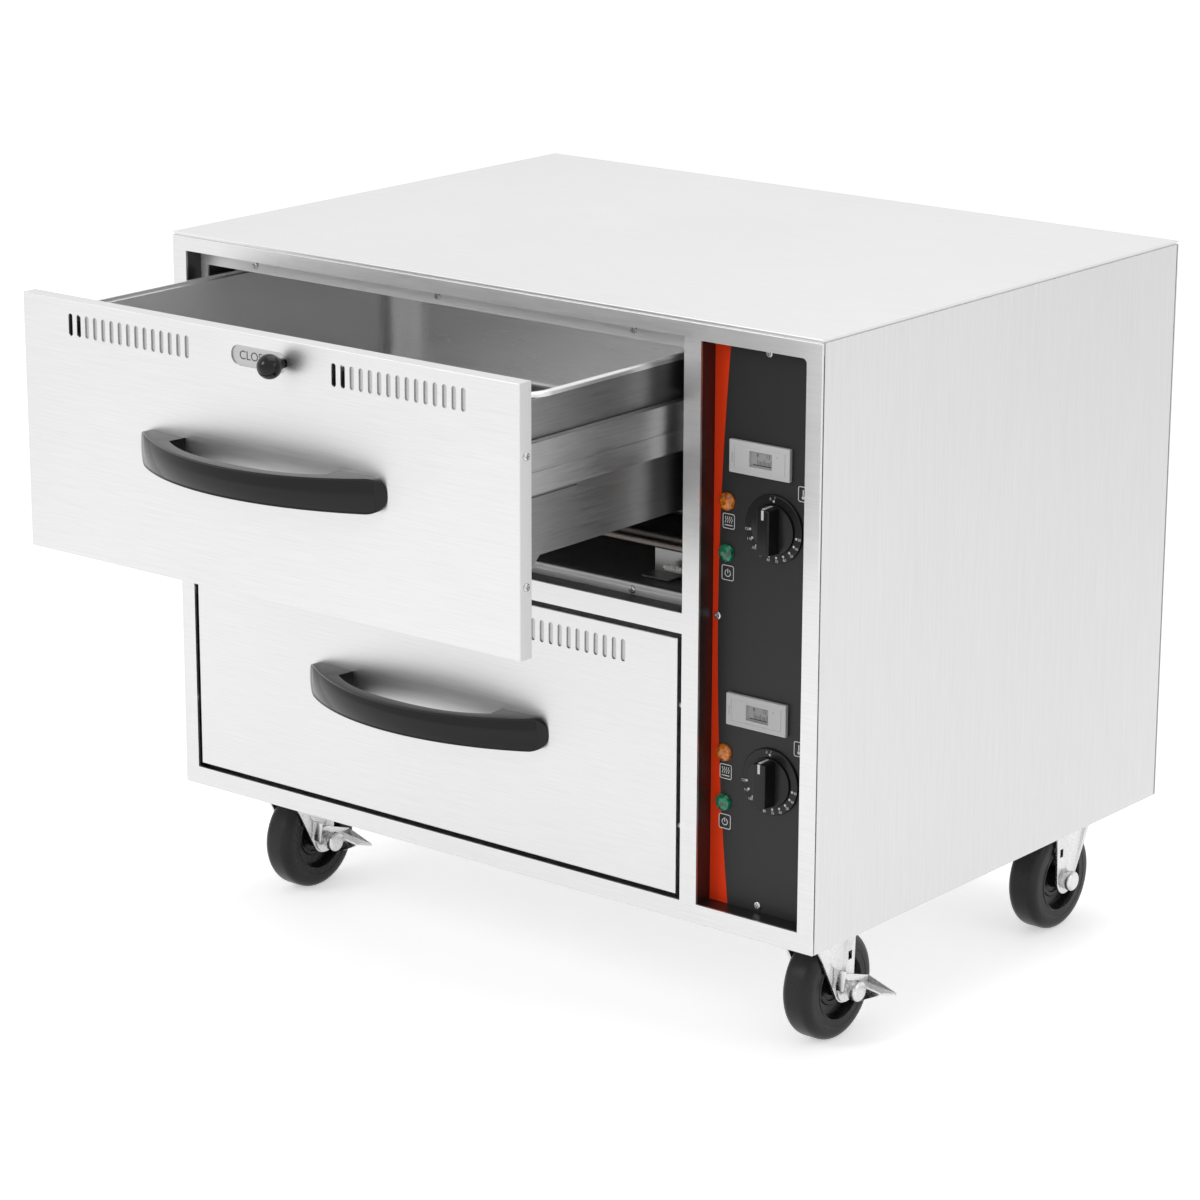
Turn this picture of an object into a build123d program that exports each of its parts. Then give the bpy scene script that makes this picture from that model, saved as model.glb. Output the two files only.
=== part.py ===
from build123d import *
import os

os.makedirs("parts", exist_ok=True)

# Two-drawer warming cabinet on four swivel casters, in millimetres.
# X runs to the right, Y to the rear and Z up. The origin lies on the floor,
# under the middle of the cabinet with its upper drawer pulled out as drawn.

# Driving sizes

# Cabinet body
cabinet_width = 750.0
cabinet_depth = 562.5
caster_height = 122.0
skin = 1.5              # outer sheet
seam = 1.8              # open joint between two skins
hem = 13.0              # depth of the folded edges that hold the skins together
bend_radius = 0.8

# Openings of the front frame
left_stile = 17.0
middle_stile = 18.0
right_stile = 16.3
control_width = 110.0
control_top_drop = 1.5
bottom_rail = 18.0
bay_height = 244.2
middle_rail = 18.4
top_rail = 13.4
control_corner_radius = 4.5
frame_return = 20.0     # depth of the folded reveal round each opening

# Bay liners
liner_sheet = 1.2
liner_side_lip = 8.5
liner_top_lip = 15.0
liner_sill = 11.5
back_room = 27.5        # for wool, between the liners and the back panel
sill_block = 8.0
sill_radius = 6.0

# Small screws
screw_radius = 1.8
screw_head_radius = 3.6
screw_head_height = 1.7
screw_length = 6.0
liner_screw_spacing = 224.0
top_screw_drop = 7.5
sill_screw_rise = 4.6
screw_taper = 20.0      # slope of a screw head's side, in degrees
fascia_screw_height = 261.0
fascia_screw_inset = 6.0
fascia_top_screw_shift = 2.4
fascia_bottom_screw_shift = -2.0

# Telescopic slides, one pair per drawer, with three nested members
slide_thickness = 12.7
slide_height = 53.2
slide_sheet = 1.5
slide_setback = 4.0     # of the cabinet member, behind the liner's front
slide_back_gap = 15.0
slide_travel = 215.0    # of each moving member in the one that carries it
slide_end_gap = 2.0
middle_setback = 2.0    # of the middle member, behind the drawer panel
drawer_rail_setback = 1.0
member_gap = 0.9        # between the webs of two members
ball_standoff = 2.6     # of the outer ball row, from the middle member's web
ball_row_step = 1.1     # of the inner ball row, beyond the outer one
flange_overlap = 3.0    # of a flange, past the centres of its balls
race_gap = 3.4          # room between two neighbouring races
ball_radius = 1.9
race_clearance = 0.05
ball_pairs = 3
ball_pair_pitch = 42.0
ball_spacing = 14.0
cage_thickness = 1.0
cage_width = 4.8
cage_setback = 4.0      # of the inner balls, behind the middle member's front
outer_cage_slack = 10.0 # by which the outer balls stay inside the cabinet member
cage_margin = 8.0
groove_height = 4.7     # stiffening groove pressed into the middle member
groove_drop = 1.35
groove_depth = 0.8
slide_centre_drop = 77.0

# Drawers
drawer_opening = 211.4  # how far the upper drawer stands out as drawn
panel_gap = 4.8
panel_sheet = 1.2
panel_return = 15.0
backing_gap = 0.3
frame_sheet = 1.5
frame_back_gap = 45.0
frame_lip = 12.0
frame_top_drop = 22.0
frame_bottom_drop = 155.5
gusset_leg = 78.5
gusset_sheet = 1.5
gusset_gap = 1.0
gusset_foot = 14.0
side_screw_drops = (62.0, 172.6)
side_screw_setback = 8.0
pan_sheet = 1.0
pan_side_gap = 3.0
pan_depth = 126.0
pan_corner = 45.0
pan_bottom_radius = 14.0
pan_draft = 2.0         # slope of the pan's sides, in degrees
rim_roll = 4.4
rim_radius = 2.0
rim_overhang = 1.5
rim_end_gap = 0.5

# Vent in the drawer front
slot_count = 15
slot_pitch = 10.26
slot_width = 5.0
slot_height = 20.3
slot_drop = 12.0
slot_inner_offset = 86.0
window_width = 66.0
window_height = 18.0
window_drop = 20.5
shutter_sheet = 1.0
shutter_height = 30.0
shutter_play = 0.3
shutter_gap = 0.2
shutter_end_play = 1.0
shutter_overlap = 8.0
shutter_pitches = 3.5   # travel between open and shut, in slot pitches
clear_slots = 2         # of each group, which the shutter leaves open at both ends of its travel
clear_margin = 1.0
vent_neck_radius = 4.5
vent_ball_radius = 11.0
vent_knob_reach = 16.0
vent_neck_gap = 1.2

# Handle
handle_length = 291.0
handle_reach = 52.0
handle_end_height = 31.0
handle_bar_height = 27.0
handle_bar_thickness = 12.0
handle_foot = 55.0
handle_drop = 118.0
handle_foot_slope = 2.0
handle_foot_reach = 18.0
handle_shoulder_run = 26.0
handle_shoulder_reach = 32.0
handle_screw_inset = 22.0
handle_screw_radius = 2.5
handle_screw_depth = 10.0
handle_screw_head = 2.4

# Control panel
fascia_sheet = 1.5
knob_shift = 10.3       # of the knob axis, right of the panel's middle
upper_knob_height = 366.0
lower_knob_height = 140.6
knob_radius = 21.8
knob_skirt = 3.0
knob_reach = 17.0
knob_float = 1.2        # of the skirt's back above the fascia
grip_width = 15.0
grip_inset = 0.6
grip_draft = 3.0        # slope of the grip's sides, in degrees
grip_radius = 1.2
dial_radius = 30.0
dial_thickness = 2.4
dial_edge = 1.0
dial_gap = 0.5
bushing_radius = 5.0
bushing_reach = 1.0
thermostat_width = 34.0
thermostat_height = 46.0
thermostat_depth = 30.0
thermostat_corner = 4.0
shaft_radius = 3.0
shaft_depth = 14.0
shaft_clearance = 0.05
lamp_radius = 8.0
lamp_reach = 6.0
lamp_flange = 1.5
lamp_rim = 1.0
lamp_dome = 3.0
lamp_body_radius = 5.5
lamp_body_depth = 22.0
lamp_inset = 50.6       # from the knob axis to the lamp axis
heating_lamp_rise = 16.0
power_lamp_drop = 29.6
thermometer_width = 64.0
thermometer_height = 28.8
thermometer_reach = 4.0
thermometer_rise = 58.0
thermometer_shift = -14.7
thermometer_rim_x = 5.0
thermometer_rim_z = 4.0
thermometer_depth = 18.0
thermometer_chamfer = 0.8
thermometer_window_shift = 1.0
scale_thickness = 1.6
thermometer_window_width = 24.0
thermometer_window_height = 14.0

# Casters
wheel_diameter = 101.6
wheel_width = 31.0
wheel_shoulder = 9.0
hub_width = 33.0
hub_radius = 12.0
tyre_height = 15.0
rim_draft = 5.0
rim_step = 2.5
hub_draft = 4.0
web_half = 4.0
caster_inset = 60.6
front_caster_setback = 90.0
rear_caster_setback = 73.0
caster_trail = 18.0
fork_sheet = 2.6
fork_gap = 0.5
leg_end_radius = 14.0
leg_back = 16.5         # from the axle to the upright edge of a leg
leg_slot_width = 5.5
leg_slot_height = 8.0
leg_slot_setback = 8.0
leg_slot_rise = 28.4
crown_gap = 0.3
crown_radius = 27.0
crown_thickness = 3.4
race_height = 7.0
race_radius_below = 25.0
race_taper = 12.0       # slope of the race's side, in degrees
plate_width = 66.0
plate_length = 88.0
plate_thickness = 3.0
plate_corner = 8.0
plate_bolt_pitch_x = 44.9
plate_bolt_pitch_y = 66.9
king_pin_radius = 6.0
pin_head_gap = 0.2
pin_head_radius = 10.0
pin_head_height = 3.0
running_clearance = 0.05
axle_radius = 4.0
sleeve_radius = 6.0
bolt_hex_radius = 9.0
bolt_hex_height = 4.0
bolt_dome_radius = 9.5
bolt_dome_height = 6.0
bolt_dome_edge = 2.5
nut_radius = 7.5
nut_height = 5.0
plate_bolt_radius = 4.0
plate_bolt_hex = 6.4
plate_bolt_head = 5.0
plate_nut_height = 6.0
plate_bolt_tail = 3.0
pedal_reach = 55.0
pedal_width = 24.0
pedal_gap = 1.0
pedal_drop = 3.0
pedal_slope = 4.3       # fall of the pedal towards its end
pedal_web_root = 20.0
pedal_web_end = 5.0
pedal_web_length = 25.0
pedal_root = 10.0
brake_sheet = 2.0
brake_depth = 8.0
brake_gap = 0.3

# Heating and back
guard_setback = 38.0    # cross rail in front of the heating tube
guard_height = 26.0
guard_bar = 5.0
guard_corner = 1.5
guard_foot_width = 18.0
guard_foot_inset = 30.0
guard_end_gap = 0.5
element_radius = 4.0
element_turn = 42.0
element_legs = 4
element_rise = 8.0
element_bend_gap = 2.0
element_front_gap = 110.0
element_side_gap = 50.0
terminal_length = 18.0
clip_width = 12.0
clip_length = 16.0
clip_wall = 1.5
insulation_gap = 0.8
louvre_count = 6
louvre_pitch = 14.0
louvre_length = 70.0
louvre_height = 5.0
louvre_drop = 120.0
gland_rise = 90.0
gland_reach = 14.0
gland_radius = 11.0
gland_tube_radius = 8.8
gland_thread_radius = 8.2
gland_nut = 5.0
gland_locknut = 4.0
gland_tail = 6.0
gland_edge = 2.0
cable_bore_radius = 5.0

# Derived places

front_y = (drawer_opening + handle_reach - cabinet_depth - gland_reach) / 2
back_y = front_y + cabinet_depth
middle_y = (front_y + back_y) / 2
right_x = cabinet_width / 2
left_x = -right_x
base_z = caster_height
lower_bay_z = base_z + bottom_rail
upper_bay_z = lower_bay_z + bay_height + middle_rail
frame_top_z = upper_bay_z + bay_height + top_rail
top_z = frame_top_z + seam + skin

bay_width = cabinet_width - left_stile - middle_stile - control_width - right_stile
liner_depth = cabinet_depth - frame_return - back_room
slide_length = liner_depth - slide_back_gap
frame_length = liner_depth - frame_back_gap
frame_height = frame_top_z - base_z
bay_left_x = left_x + left_stile
bay_x = bay_left_x + bay_width / 2
control_left_x = bay_left_x + bay_width + middle_stile
control_x = control_left_x + control_width / 2
control_height = upper_bay_z + bay_height - lower_bay_z - control_top_drop
reveal_y = front_y + frame_return

liner_half = bay_width / 2 - liner_side_lip
panel_width = bay_width - 2 * panel_gap
panel_height = bay_height - 2 * panel_gap
liner_back_y = reveal_y + liner_depth
fascia_y = reveal_y
knob_x = control_x + knob_shift
shutter_travel = shutter_pitches * slot_pitch


def facing(y):
    """Sketch plane that looks out of the front, with local axes X and Z."""
    return Plane.XZ.offset(-y)


def finish(part, label):
    part.label = label
    export_step(part, f"parts/{label}.step")


# Cabinet skins

inner_width = cabinet_width - 2 * skin
inner_depth = cabinet_depth - 2 * skin

with BuildPart() as top_panel:
    with BuildSketch(Plane.XY.offset(top_z - skin)):
        with Locations((0, middle_y)):
            Rectangle(cabinet_width, cabinet_depth)
    extrude(amount=skin)
    fillet(top_panel.faces().sort_by(Axis.Z)[-1].edges(), bend_radius)
    with BuildSketch(Plane.XY.offset(top_z - skin)):
        with Locations((0, middle_y)):
            Rectangle(inner_width, inner_depth)
            Rectangle(inner_width - 2 * skin, inner_depth - 2 * skin, mode=Mode.SUBTRACT)
    extrude(amount=-hem)
finish(top_panel.part, "top_panel")

caster_spots = [
    ("front_left", -1, front_y + front_caster_setback, 1, True),
    ("front_right", 1, front_y + front_caster_setback, 1, True),
    ("rear_left", -1, back_y - rear_caster_setback, -1, False),
    ("rear_right", 1, back_y - rear_caster_setback, -1, False),
]
plate_bolt_spots = [
    (side * (right_x - caster_inset) + across * plate_bolt_pitch_x / 2, y + along * plate_bolt_pitch_y / 2)
    for name, side, y, trail, braked in caster_spots
    for across in (-1, 1)
    for along in (-1, 1)
]

with BuildPart() as base_panel:
    with BuildSketch(Plane.XY.offset(base_z)):
        with Locations((0, middle_y)):
            Rectangle(inner_width, inner_depth)
        with Locations(*plate_bolt_spots):
            Circle(plate_bolt_radius, mode=Mode.SUBTRACT)
    extrude(amount=skin)
    with BuildSketch(Plane.XY.offset(base_z + skin)):
        with Locations((0, middle_y)):
            Rectangle(inner_width, inner_depth)
            Rectangle(inner_width - 2 * skin, inner_depth - 2 * skin, mode=Mode.SUBTRACT)
    extrude(amount=hem)
finish(base_panel.part, "base_panel")

side_depth = cabinet_depth - 2 * (skin + seam)
for name, side in (("left", -1), ("right", 1)):
    with BuildPart() as side_panel:
        with BuildSketch(Plane.YZ.offset(side * (right_x - skin / 2) - skin / 2)):
            with Locations((middle_y, base_z + frame_height / 2)):
                Rectangle(side_depth, frame_height)
        extrude(amount=skin)
    finish(side_panel.part, f"{name}_side_panel")

# Folded edges of the front frame and the back panel run between the hems of top and base.
fold_height = top_z - base_z - 2 * (skin + hem)
fold_z = (top_z + base_z) / 2

gland_z = base_z + gland_rise

with BuildPart() as back_panel:
    with BuildSketch(facing(back_y - skin)):
        with Locations((0, base_z + frame_height / 2)):
            Rectangle(cabinet_width, frame_height)
        with GridLocations(0, louvre_pitch, 1, louvre_count):
            with Locations((control_x, top_z - louvre_drop)):
                SlotOverall(louvre_length, louvre_height, mode=Mode.SUBTRACT)
        with Locations((control_x, gland_z)):
            Circle(gland_thread_radius, mode=Mode.SUBTRACT)
    extrude(amount=-skin)
    with BuildSketch(facing(back_y - skin)):
        with Locations(*[(s * (right_x - skin * 1.5), fold_z) for s in (-1, 1)]):
            Rectangle(skin, fold_height)
    extrude(amount=hem)
finish(back_panel.part, "back_panel")

with BuildPart() as front_frame:
    with BuildSketch(facing(front_y)):
        with Locations((0, base_z + frame_height / 2)):
            Rectangle(cabinet_width, frame_height)
    extrude(amount=-skin)
    fillet(front_frame.faces().sort_by(Axis.Y)[0].edges(), bend_radius)
    with BuildSketch(facing(front_y)):
        for bay_z in (lower_bay_z, upper_bay_z):
            with Locations((bay_x, bay_z + bay_height / 2)):
                Rectangle(bay_width + 2 * skin, bay_height + 2 * skin)
        with Locations((control_x, lower_bay_z + control_height / 2)):
            Rectangle(control_width + 2 * skin, control_height + 2 * skin)
    extrude(amount=-frame_return)
    with BuildSketch(facing(front_y)):
        for bay_z in (lower_bay_z, upper_bay_z):
            with Locations((bay_x, bay_z + bay_height / 2)):
                Rectangle(bay_width, bay_height)
        with BuildSketch(mode=Mode.PRIVATE) as control_cut:
            with Locations((control_x, lower_bay_z + control_height / 2)):
                Rectangle(control_width, control_height)
            corner = control_cut.vertices().sort_by(Axis.X)[-2:].sort_by(Axis.Y)[-1]
            fillet(corner, control_corner_radius)
        add(control_cut.sketch)
    extrude(amount=-frame_return, mode=Mode.SUBTRACT)
    with BuildSketch(facing(front_y + skin)):
        with Locations(*[(s * (right_x - skin * 1.5), fold_z) for s in (-1, 1)]):
            Rectangle(skin, fold_height)
    extrude(amount=-hem)
finish(front_frame.part, "front_frame")

# Bay liners

inner_bay_height = bay_height - liner_sill - liner_top_lip
element_leg_pitch = 2 * element_turn
element_start_y = reveal_y + element_front_gap
element_end_y = element_start_y + (element_legs - 1) * element_leg_pitch
element_left_x = bay_x - liner_half + element_side_gap
element_right_x = bay_x + liner_half - element_side_gap
liner_wall_x = bay_x + liner_half + liner_sheet


def build_liner(name, bay_z):
    floor_z = bay_z + liner_sill
    centre_z = floor_z + inner_bay_height / 2
    with BuildPart() as liner:
        with BuildSketch(facing(reveal_y)):
            with Locations((bay_x, bay_z + bay_height / 2)):
                Rectangle(bay_width + 2 * skin, bay_height + 2 * skin)
        extrude(amount=-liner_sheet)
        with BuildSketch(facing(reveal_y)):
            with Locations((bay_x, centre_z)):
                Rectangle(2 * (liner_half + liner_sheet), inner_bay_height + 2 * liner_sheet)
        extrude(amount=-(liner_depth + liner_sheet))
        with BuildSketch(facing(reveal_y)):
            with Locations((bay_x, floor_z - sill_block / 2)):
                Rectangle(2 * liner_half, sill_block)
        extrude(amount=-sill_block)
        with BuildSketch(facing(reveal_y)):
            with Locations((bay_x, centre_z)):
                Rectangle(2 * liner_half, inner_bay_height)
        extrude(amount=-liner_depth, mode=Mode.SUBTRACT)
        nose = liner.edges().filter_by(Axis.X).group_by(Axis.Y)[0]
        nose = nose.filter_by_position(Axis.Z, floor_z - 0.1, floor_z + 0.1)
        fillet(nose, sill_radius)
        with BuildSketch(Plane.YZ.offset(bay_x + liner_half)):
            with Locations(*[(y, floor_z + element_rise) for y in (element_start_y, element_end_y)]):
                Circle(element_radius)
        extrude(amount=liner_sheet, mode=Mode.SUBTRACT)
        with BuildSketch(facing(reveal_y)):
            with Locations(*liner_screw_spots(bay_z)):
                Circle(screw_radius)
        extrude(amount=-screw_length, mode=Mode.SUBTRACT)
    finish(liner.part, name)


def liner_screw_spots(bay_z):
    top = [(bay_x + n * liner_screw_spacing, bay_z + bay_height - top_screw_drop) for n in (-1, 0, 1)]
    sill = [(bay_x + n * liner_screw_spacing, bay_z + sill_screw_rise) for n in (-1, 1)]
    return top + sill


build_liner("upper_liner", upper_bay_z)
build_liner("lower_liner", lower_bay_z)

fascia_screw_spots = [
    (control_x + fascia_top_screw_shift, lower_bay_z + control_height - fascia_screw_inset),
    (control_left_x + fascia_screw_inset, lower_bay_z + fascia_screw_height),
    (control_left_x + control_width - fascia_screw_inset, lower_bay_z + fascia_screw_height),
    (control_x + fascia_bottom_screw_shift, lower_bay_z + fascia_screw_inset),
]

with BuildPart() as panel_screws:
    spots = liner_screw_spots(upper_bay_z) + liner_screw_spots(lower_bay_z) + fascia_screw_spots
    with BuildSketch(facing(reveal_y)):
        with Locations(*spots):
            Circle(screw_head_radius)
    extrude(amount=screw_head_height, taper=screw_taper)
    with BuildSketch(facing(reveal_y)):
        with Locations(*spots):
            Circle(screw_radius)
    extrude(amount=-screw_length)
finish(panel_screws.part, "panel_screws")

with BuildPart() as heating_elements:
    for bay_z in (lower_bay_z, upper_bay_z):
        run_z = bay_z + liner_sill + element_rise
        end_x = liner_wall_x + terminal_length
        corners = [(end_x, element_start_y)]
        for leg in range(element_legs - 1):
            turn_x = element_left_x if leg % 2 == 0 else element_right_x
            corners.append((turn_x, element_start_y + leg * element_leg_pitch))
            corners.append((turn_x, element_start_y + (leg + 1) * element_leg_pitch))
        corners.append((end_x, element_end_y))
        with BuildLine(Plane.XY.offset(run_z)) as run:
            FilletPolyline(*corners, radius=element_turn - element_bend_gap)
        with BuildSketch(Plane(origin=run.line @ 0, z_dir=run.line % 0)):
            Circle(element_radius)
        sweep(path=run.line)
        # Saddle clips that hold the tube above the floor
        with BuildSketch(Plane.XY.offset(bay_z + liner_sill)):
            clip_spots = [(bay_x, element_start_y + leg * element_leg_pitch) for leg in range(element_legs)]
            with Locations(*clip_spots):
                Rectangle(clip_width, clip_length)
        extrude(amount=element_rise + element_radius + clip_wall)
        # Cross rail in front of the tube, on two folded feet
        floor_z = bay_z + liner_sill
        with BuildSketch(Plane.YZ.offset(bay_x - liner_half + guard_end_gap)):
            with Locations((reveal_y + guard_setback, floor_z + guard_height)):
                RectangleRounded(guard_bar, guard_bar, guard_corner)
        extrude(amount=2 * (liner_half - guard_end_gap))
        with BuildSketch(facing(reveal_y + guard_setback)):
            foot_x = liner_half - guard_foot_inset
            with Locations(*[(bay_x + s * foot_x, floor_z + guard_height / 2) for s in (-1, 1)]):
                Rectangle(guard_foot_width, guard_height)
        extrude(amount=-liner_sheet)
finish(heating_elements.part, "heating_elements")

top_void_z = upper_bay_z + bay_height - liner_top_lip + liner_sheet
with BuildPart() as insulation:
    slab_y = reveal_y + screw_length + insulation_gap
    slab_length = liner_back_y + liner_sheet - slab_y
    slab_height = top_z - base_z - 2 * (skin + hem + insulation_gap)
    side_room = left_stile + liner_side_lip - liner_sheet - 2 * skin - insulation_gap
    # Left of the liners
    with BuildSketch(Plane.XY.offset(base_z + skin + hem + insulation_gap)):
        with Locations((bay_x - liner_half - liner_sheet - side_room / 2, slab_y + slab_length / 2)):
            Rectangle(side_room, slab_length)
    extrude(amount=slab_height)
    # Above the upper liner
    with BuildSketch(Plane.XY.offset(top_void_z)):
        with Locations((bay_x, slab_y + slab_length / 2)):
            Rectangle(2 * liner_half, slab_length)
    extrude(amount=top_z - skin - insulation_gap - top_void_z)
    # Behind both liners
    with BuildSketch(facing(liner_back_y + liner_sheet)):
        with Locations((bay_x, fold_z)):
            Rectangle(2 * liner_half, slab_height)
    extrude(amount=-(back_y - skin - insulation_gap - liner_back_y - liner_sheet))
finish(insulation.part, "insulation")

# Telescopic slides

# Places across the slide, measured from the wall of the liner, and heights from its centre line
flange_out = slide_height / 2                         # cabinet member
flange_in = flange_out - slide_sheet
middle_out = flange_in - race_gap                     # middle member
middle_in = middle_out - slide_sheet
drawer_out = middle_in - race_gap                     # drawer member
drawer_in = drawer_out - slide_sheet
middle_web = slide_sheet + member_gap
drawer_web = slide_thickness - slide_sheet
outer_ball_u = middle_web + slide_sheet + ball_standoff
inner_ball_u = outer_ball_u + ball_row_step
outer_ball_v = flange_in - race_gap / 2
inner_ball_v = middle_in - race_gap / 2
race_radius = ball_radius + race_clearance
cabinet_flange_u = outer_ball_u + flange_overlap
middle_flange_u = inner_ball_u + flange_overlap
drawer_flange_u = inner_ball_u - flange_overlap

slide_start_y = reveal_y + slide_setback
slide_end_y = slide_start_y + slide_length - slide_end_gap
panel_back_y = front_y + panel_return
middle_length = slide_end_y - panel_back_y - middle_setback
drawer_member_length = slide_end_y - panel_back_y - drawer_rail_setback
outer_cage_setback = slide_travel + outer_cage_slack


def slide_rect(side, slide_z, u_low, u_high, v_low, v_high):
    with Locations((bay_x + side * (liner_half - (u_low + u_high) / 2), slide_z + (v_low + v_high) / 2)):
        Rectangle(u_high - u_low, v_high - v_low)


def channel(side, slide_z, web_low, web_high, flange_low, flange_high, v_in, v_out):
    slide_rect(side, slide_z, web_low, web_high, -v_out, v_out)
    slide_rect(side, slide_z, flange_low, flange_high, v_in, v_out)
    slide_rect(side, slide_z, flange_low, flange_high, -v_out, -v_in)


def races(side, slide_z, u, v):
    with Locations(*[(bay_x + side * (liner_half - u), slide_z + sign * v) for sign in (-1, 1)]):
        Circle(race_radius, mode=Mode.SUBTRACT)


def slide_height_of(bay_z):
    return bay_z + panel_gap + panel_height - slide_centre_drop


with BuildPart() as cabinet_rails:
    with BuildSketch(facing(slide_start_y)):
        for bay_z in (lower_bay_z, upper_bay_z):
            slide_z = slide_height_of(bay_z)
            for side in (-1, 1):
                channel(side, slide_z, 0, slide_sheet, 0, cabinet_flange_u, flange_in, flange_out)
                races(side, slide_z, outer_ball_u, outer_ball_v)
    extrude(amount=-slide_length)
finish(cabinet_rails.part, "cabinet_rails")


def build_middle_rails(name, bay_z, start_y):
    slide_z = slide_height_of(bay_z)
    groove_high = -groove_drop + groove_height / 2
    groove_low = -groove_drop - groove_height / 2
    web_end = middle_web + slide_sheet
    groove_end = middle_web + groove_depth
    with BuildPart() as middle_rails:
        with BuildSketch(facing(start_y)):
            for side in (-1, 1):
                channel(
                    side, slide_z, middle_web, web_end, middle_web, middle_flange_u, middle_in, middle_out
                )
                slide_rect(side, slide_z, middle_web, web_end + groove_depth, groove_low, groove_high)
                races(side, slide_z, outer_ball_u, outer_ball_v)
                races(side, slide_z, inner_ball_u, inner_ball_v)
        extrude(amount=-middle_length)
        with BuildSketch(facing(start_y)):
            for side in (-1, 1):
                slide_rect(
                    side,
                    slide_z,
                    middle_web,
                    groove_end,
                    groove_low + groove_depth,
                    groove_high - groove_depth,
                )
        extrude(amount=-middle_length, mode=Mode.SUBTRACT)
    finish(middle_rails.part, name)


def build_ball_cages(name, bay_z, start_y):
    slide_z = slide_height_of(bay_z)
    cage_length = (ball_pairs - 1) * ball_pair_pitch + ball_spacing + 2 * cage_margin
    rows = [
        (outer_ball_u, outer_ball_v, start_y + outer_cage_setback),
        (inner_ball_u, inner_ball_v, start_y + cage_setback),
    ]
    with BuildPart() as ball_cages:
        for u, v, cage_y in rows:
            spots = [
                (bay_x + side * (liner_half - u), slide_z + sign * v) for side in (-1, 1) for sign in (-1, 1)
            ]
            with BuildSketch(facing(cage_y)):
                with Locations(*spots):
                    Rectangle(cage_width, cage_thickness)
            extrude(amount=-cage_length)
            ball_places = [
                (x, cage_y + cage_margin + pair * ball_pair_pitch + ball * ball_spacing, z)
                for x, z in spots
                for pair in range(ball_pairs)
                for ball in (0, 1)
            ]
            with Locations(*ball_places):
                Sphere(ball_radius)
    finish(ball_cages.part, name)


# Drawers

frame_half = liner_half - slide_thickness
slot_group_x = slot_inner_offset + (slot_count - 1) * slot_pitch / 2
slot_group_length = (slot_count - 1) * slot_pitch
shutter_left = -slot_inner_offset - slot_group_length + (clear_slots - 0.5) * slot_pitch
shutter_right = slot_inner_offset + slot_group_length + shutter_travel + shutter_overlap
shutter_y = panel_sheet + shutter_gap
pocket_depth = shutter_sheet + 2 * shutter_gap
neck_x = window_width / 2 - vent_neck_radius - vent_neck_gap
handle_screw_x = handle_length / 2 - handle_screw_inset


def slot_spots(slot_z, shift=0.0):
    return [
        (bay_x + side * (slot_inner_offset + n * slot_pitch) + shift, slot_z)
        for side in (-1, 1)
        for n in range(slot_count)
    ]


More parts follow.
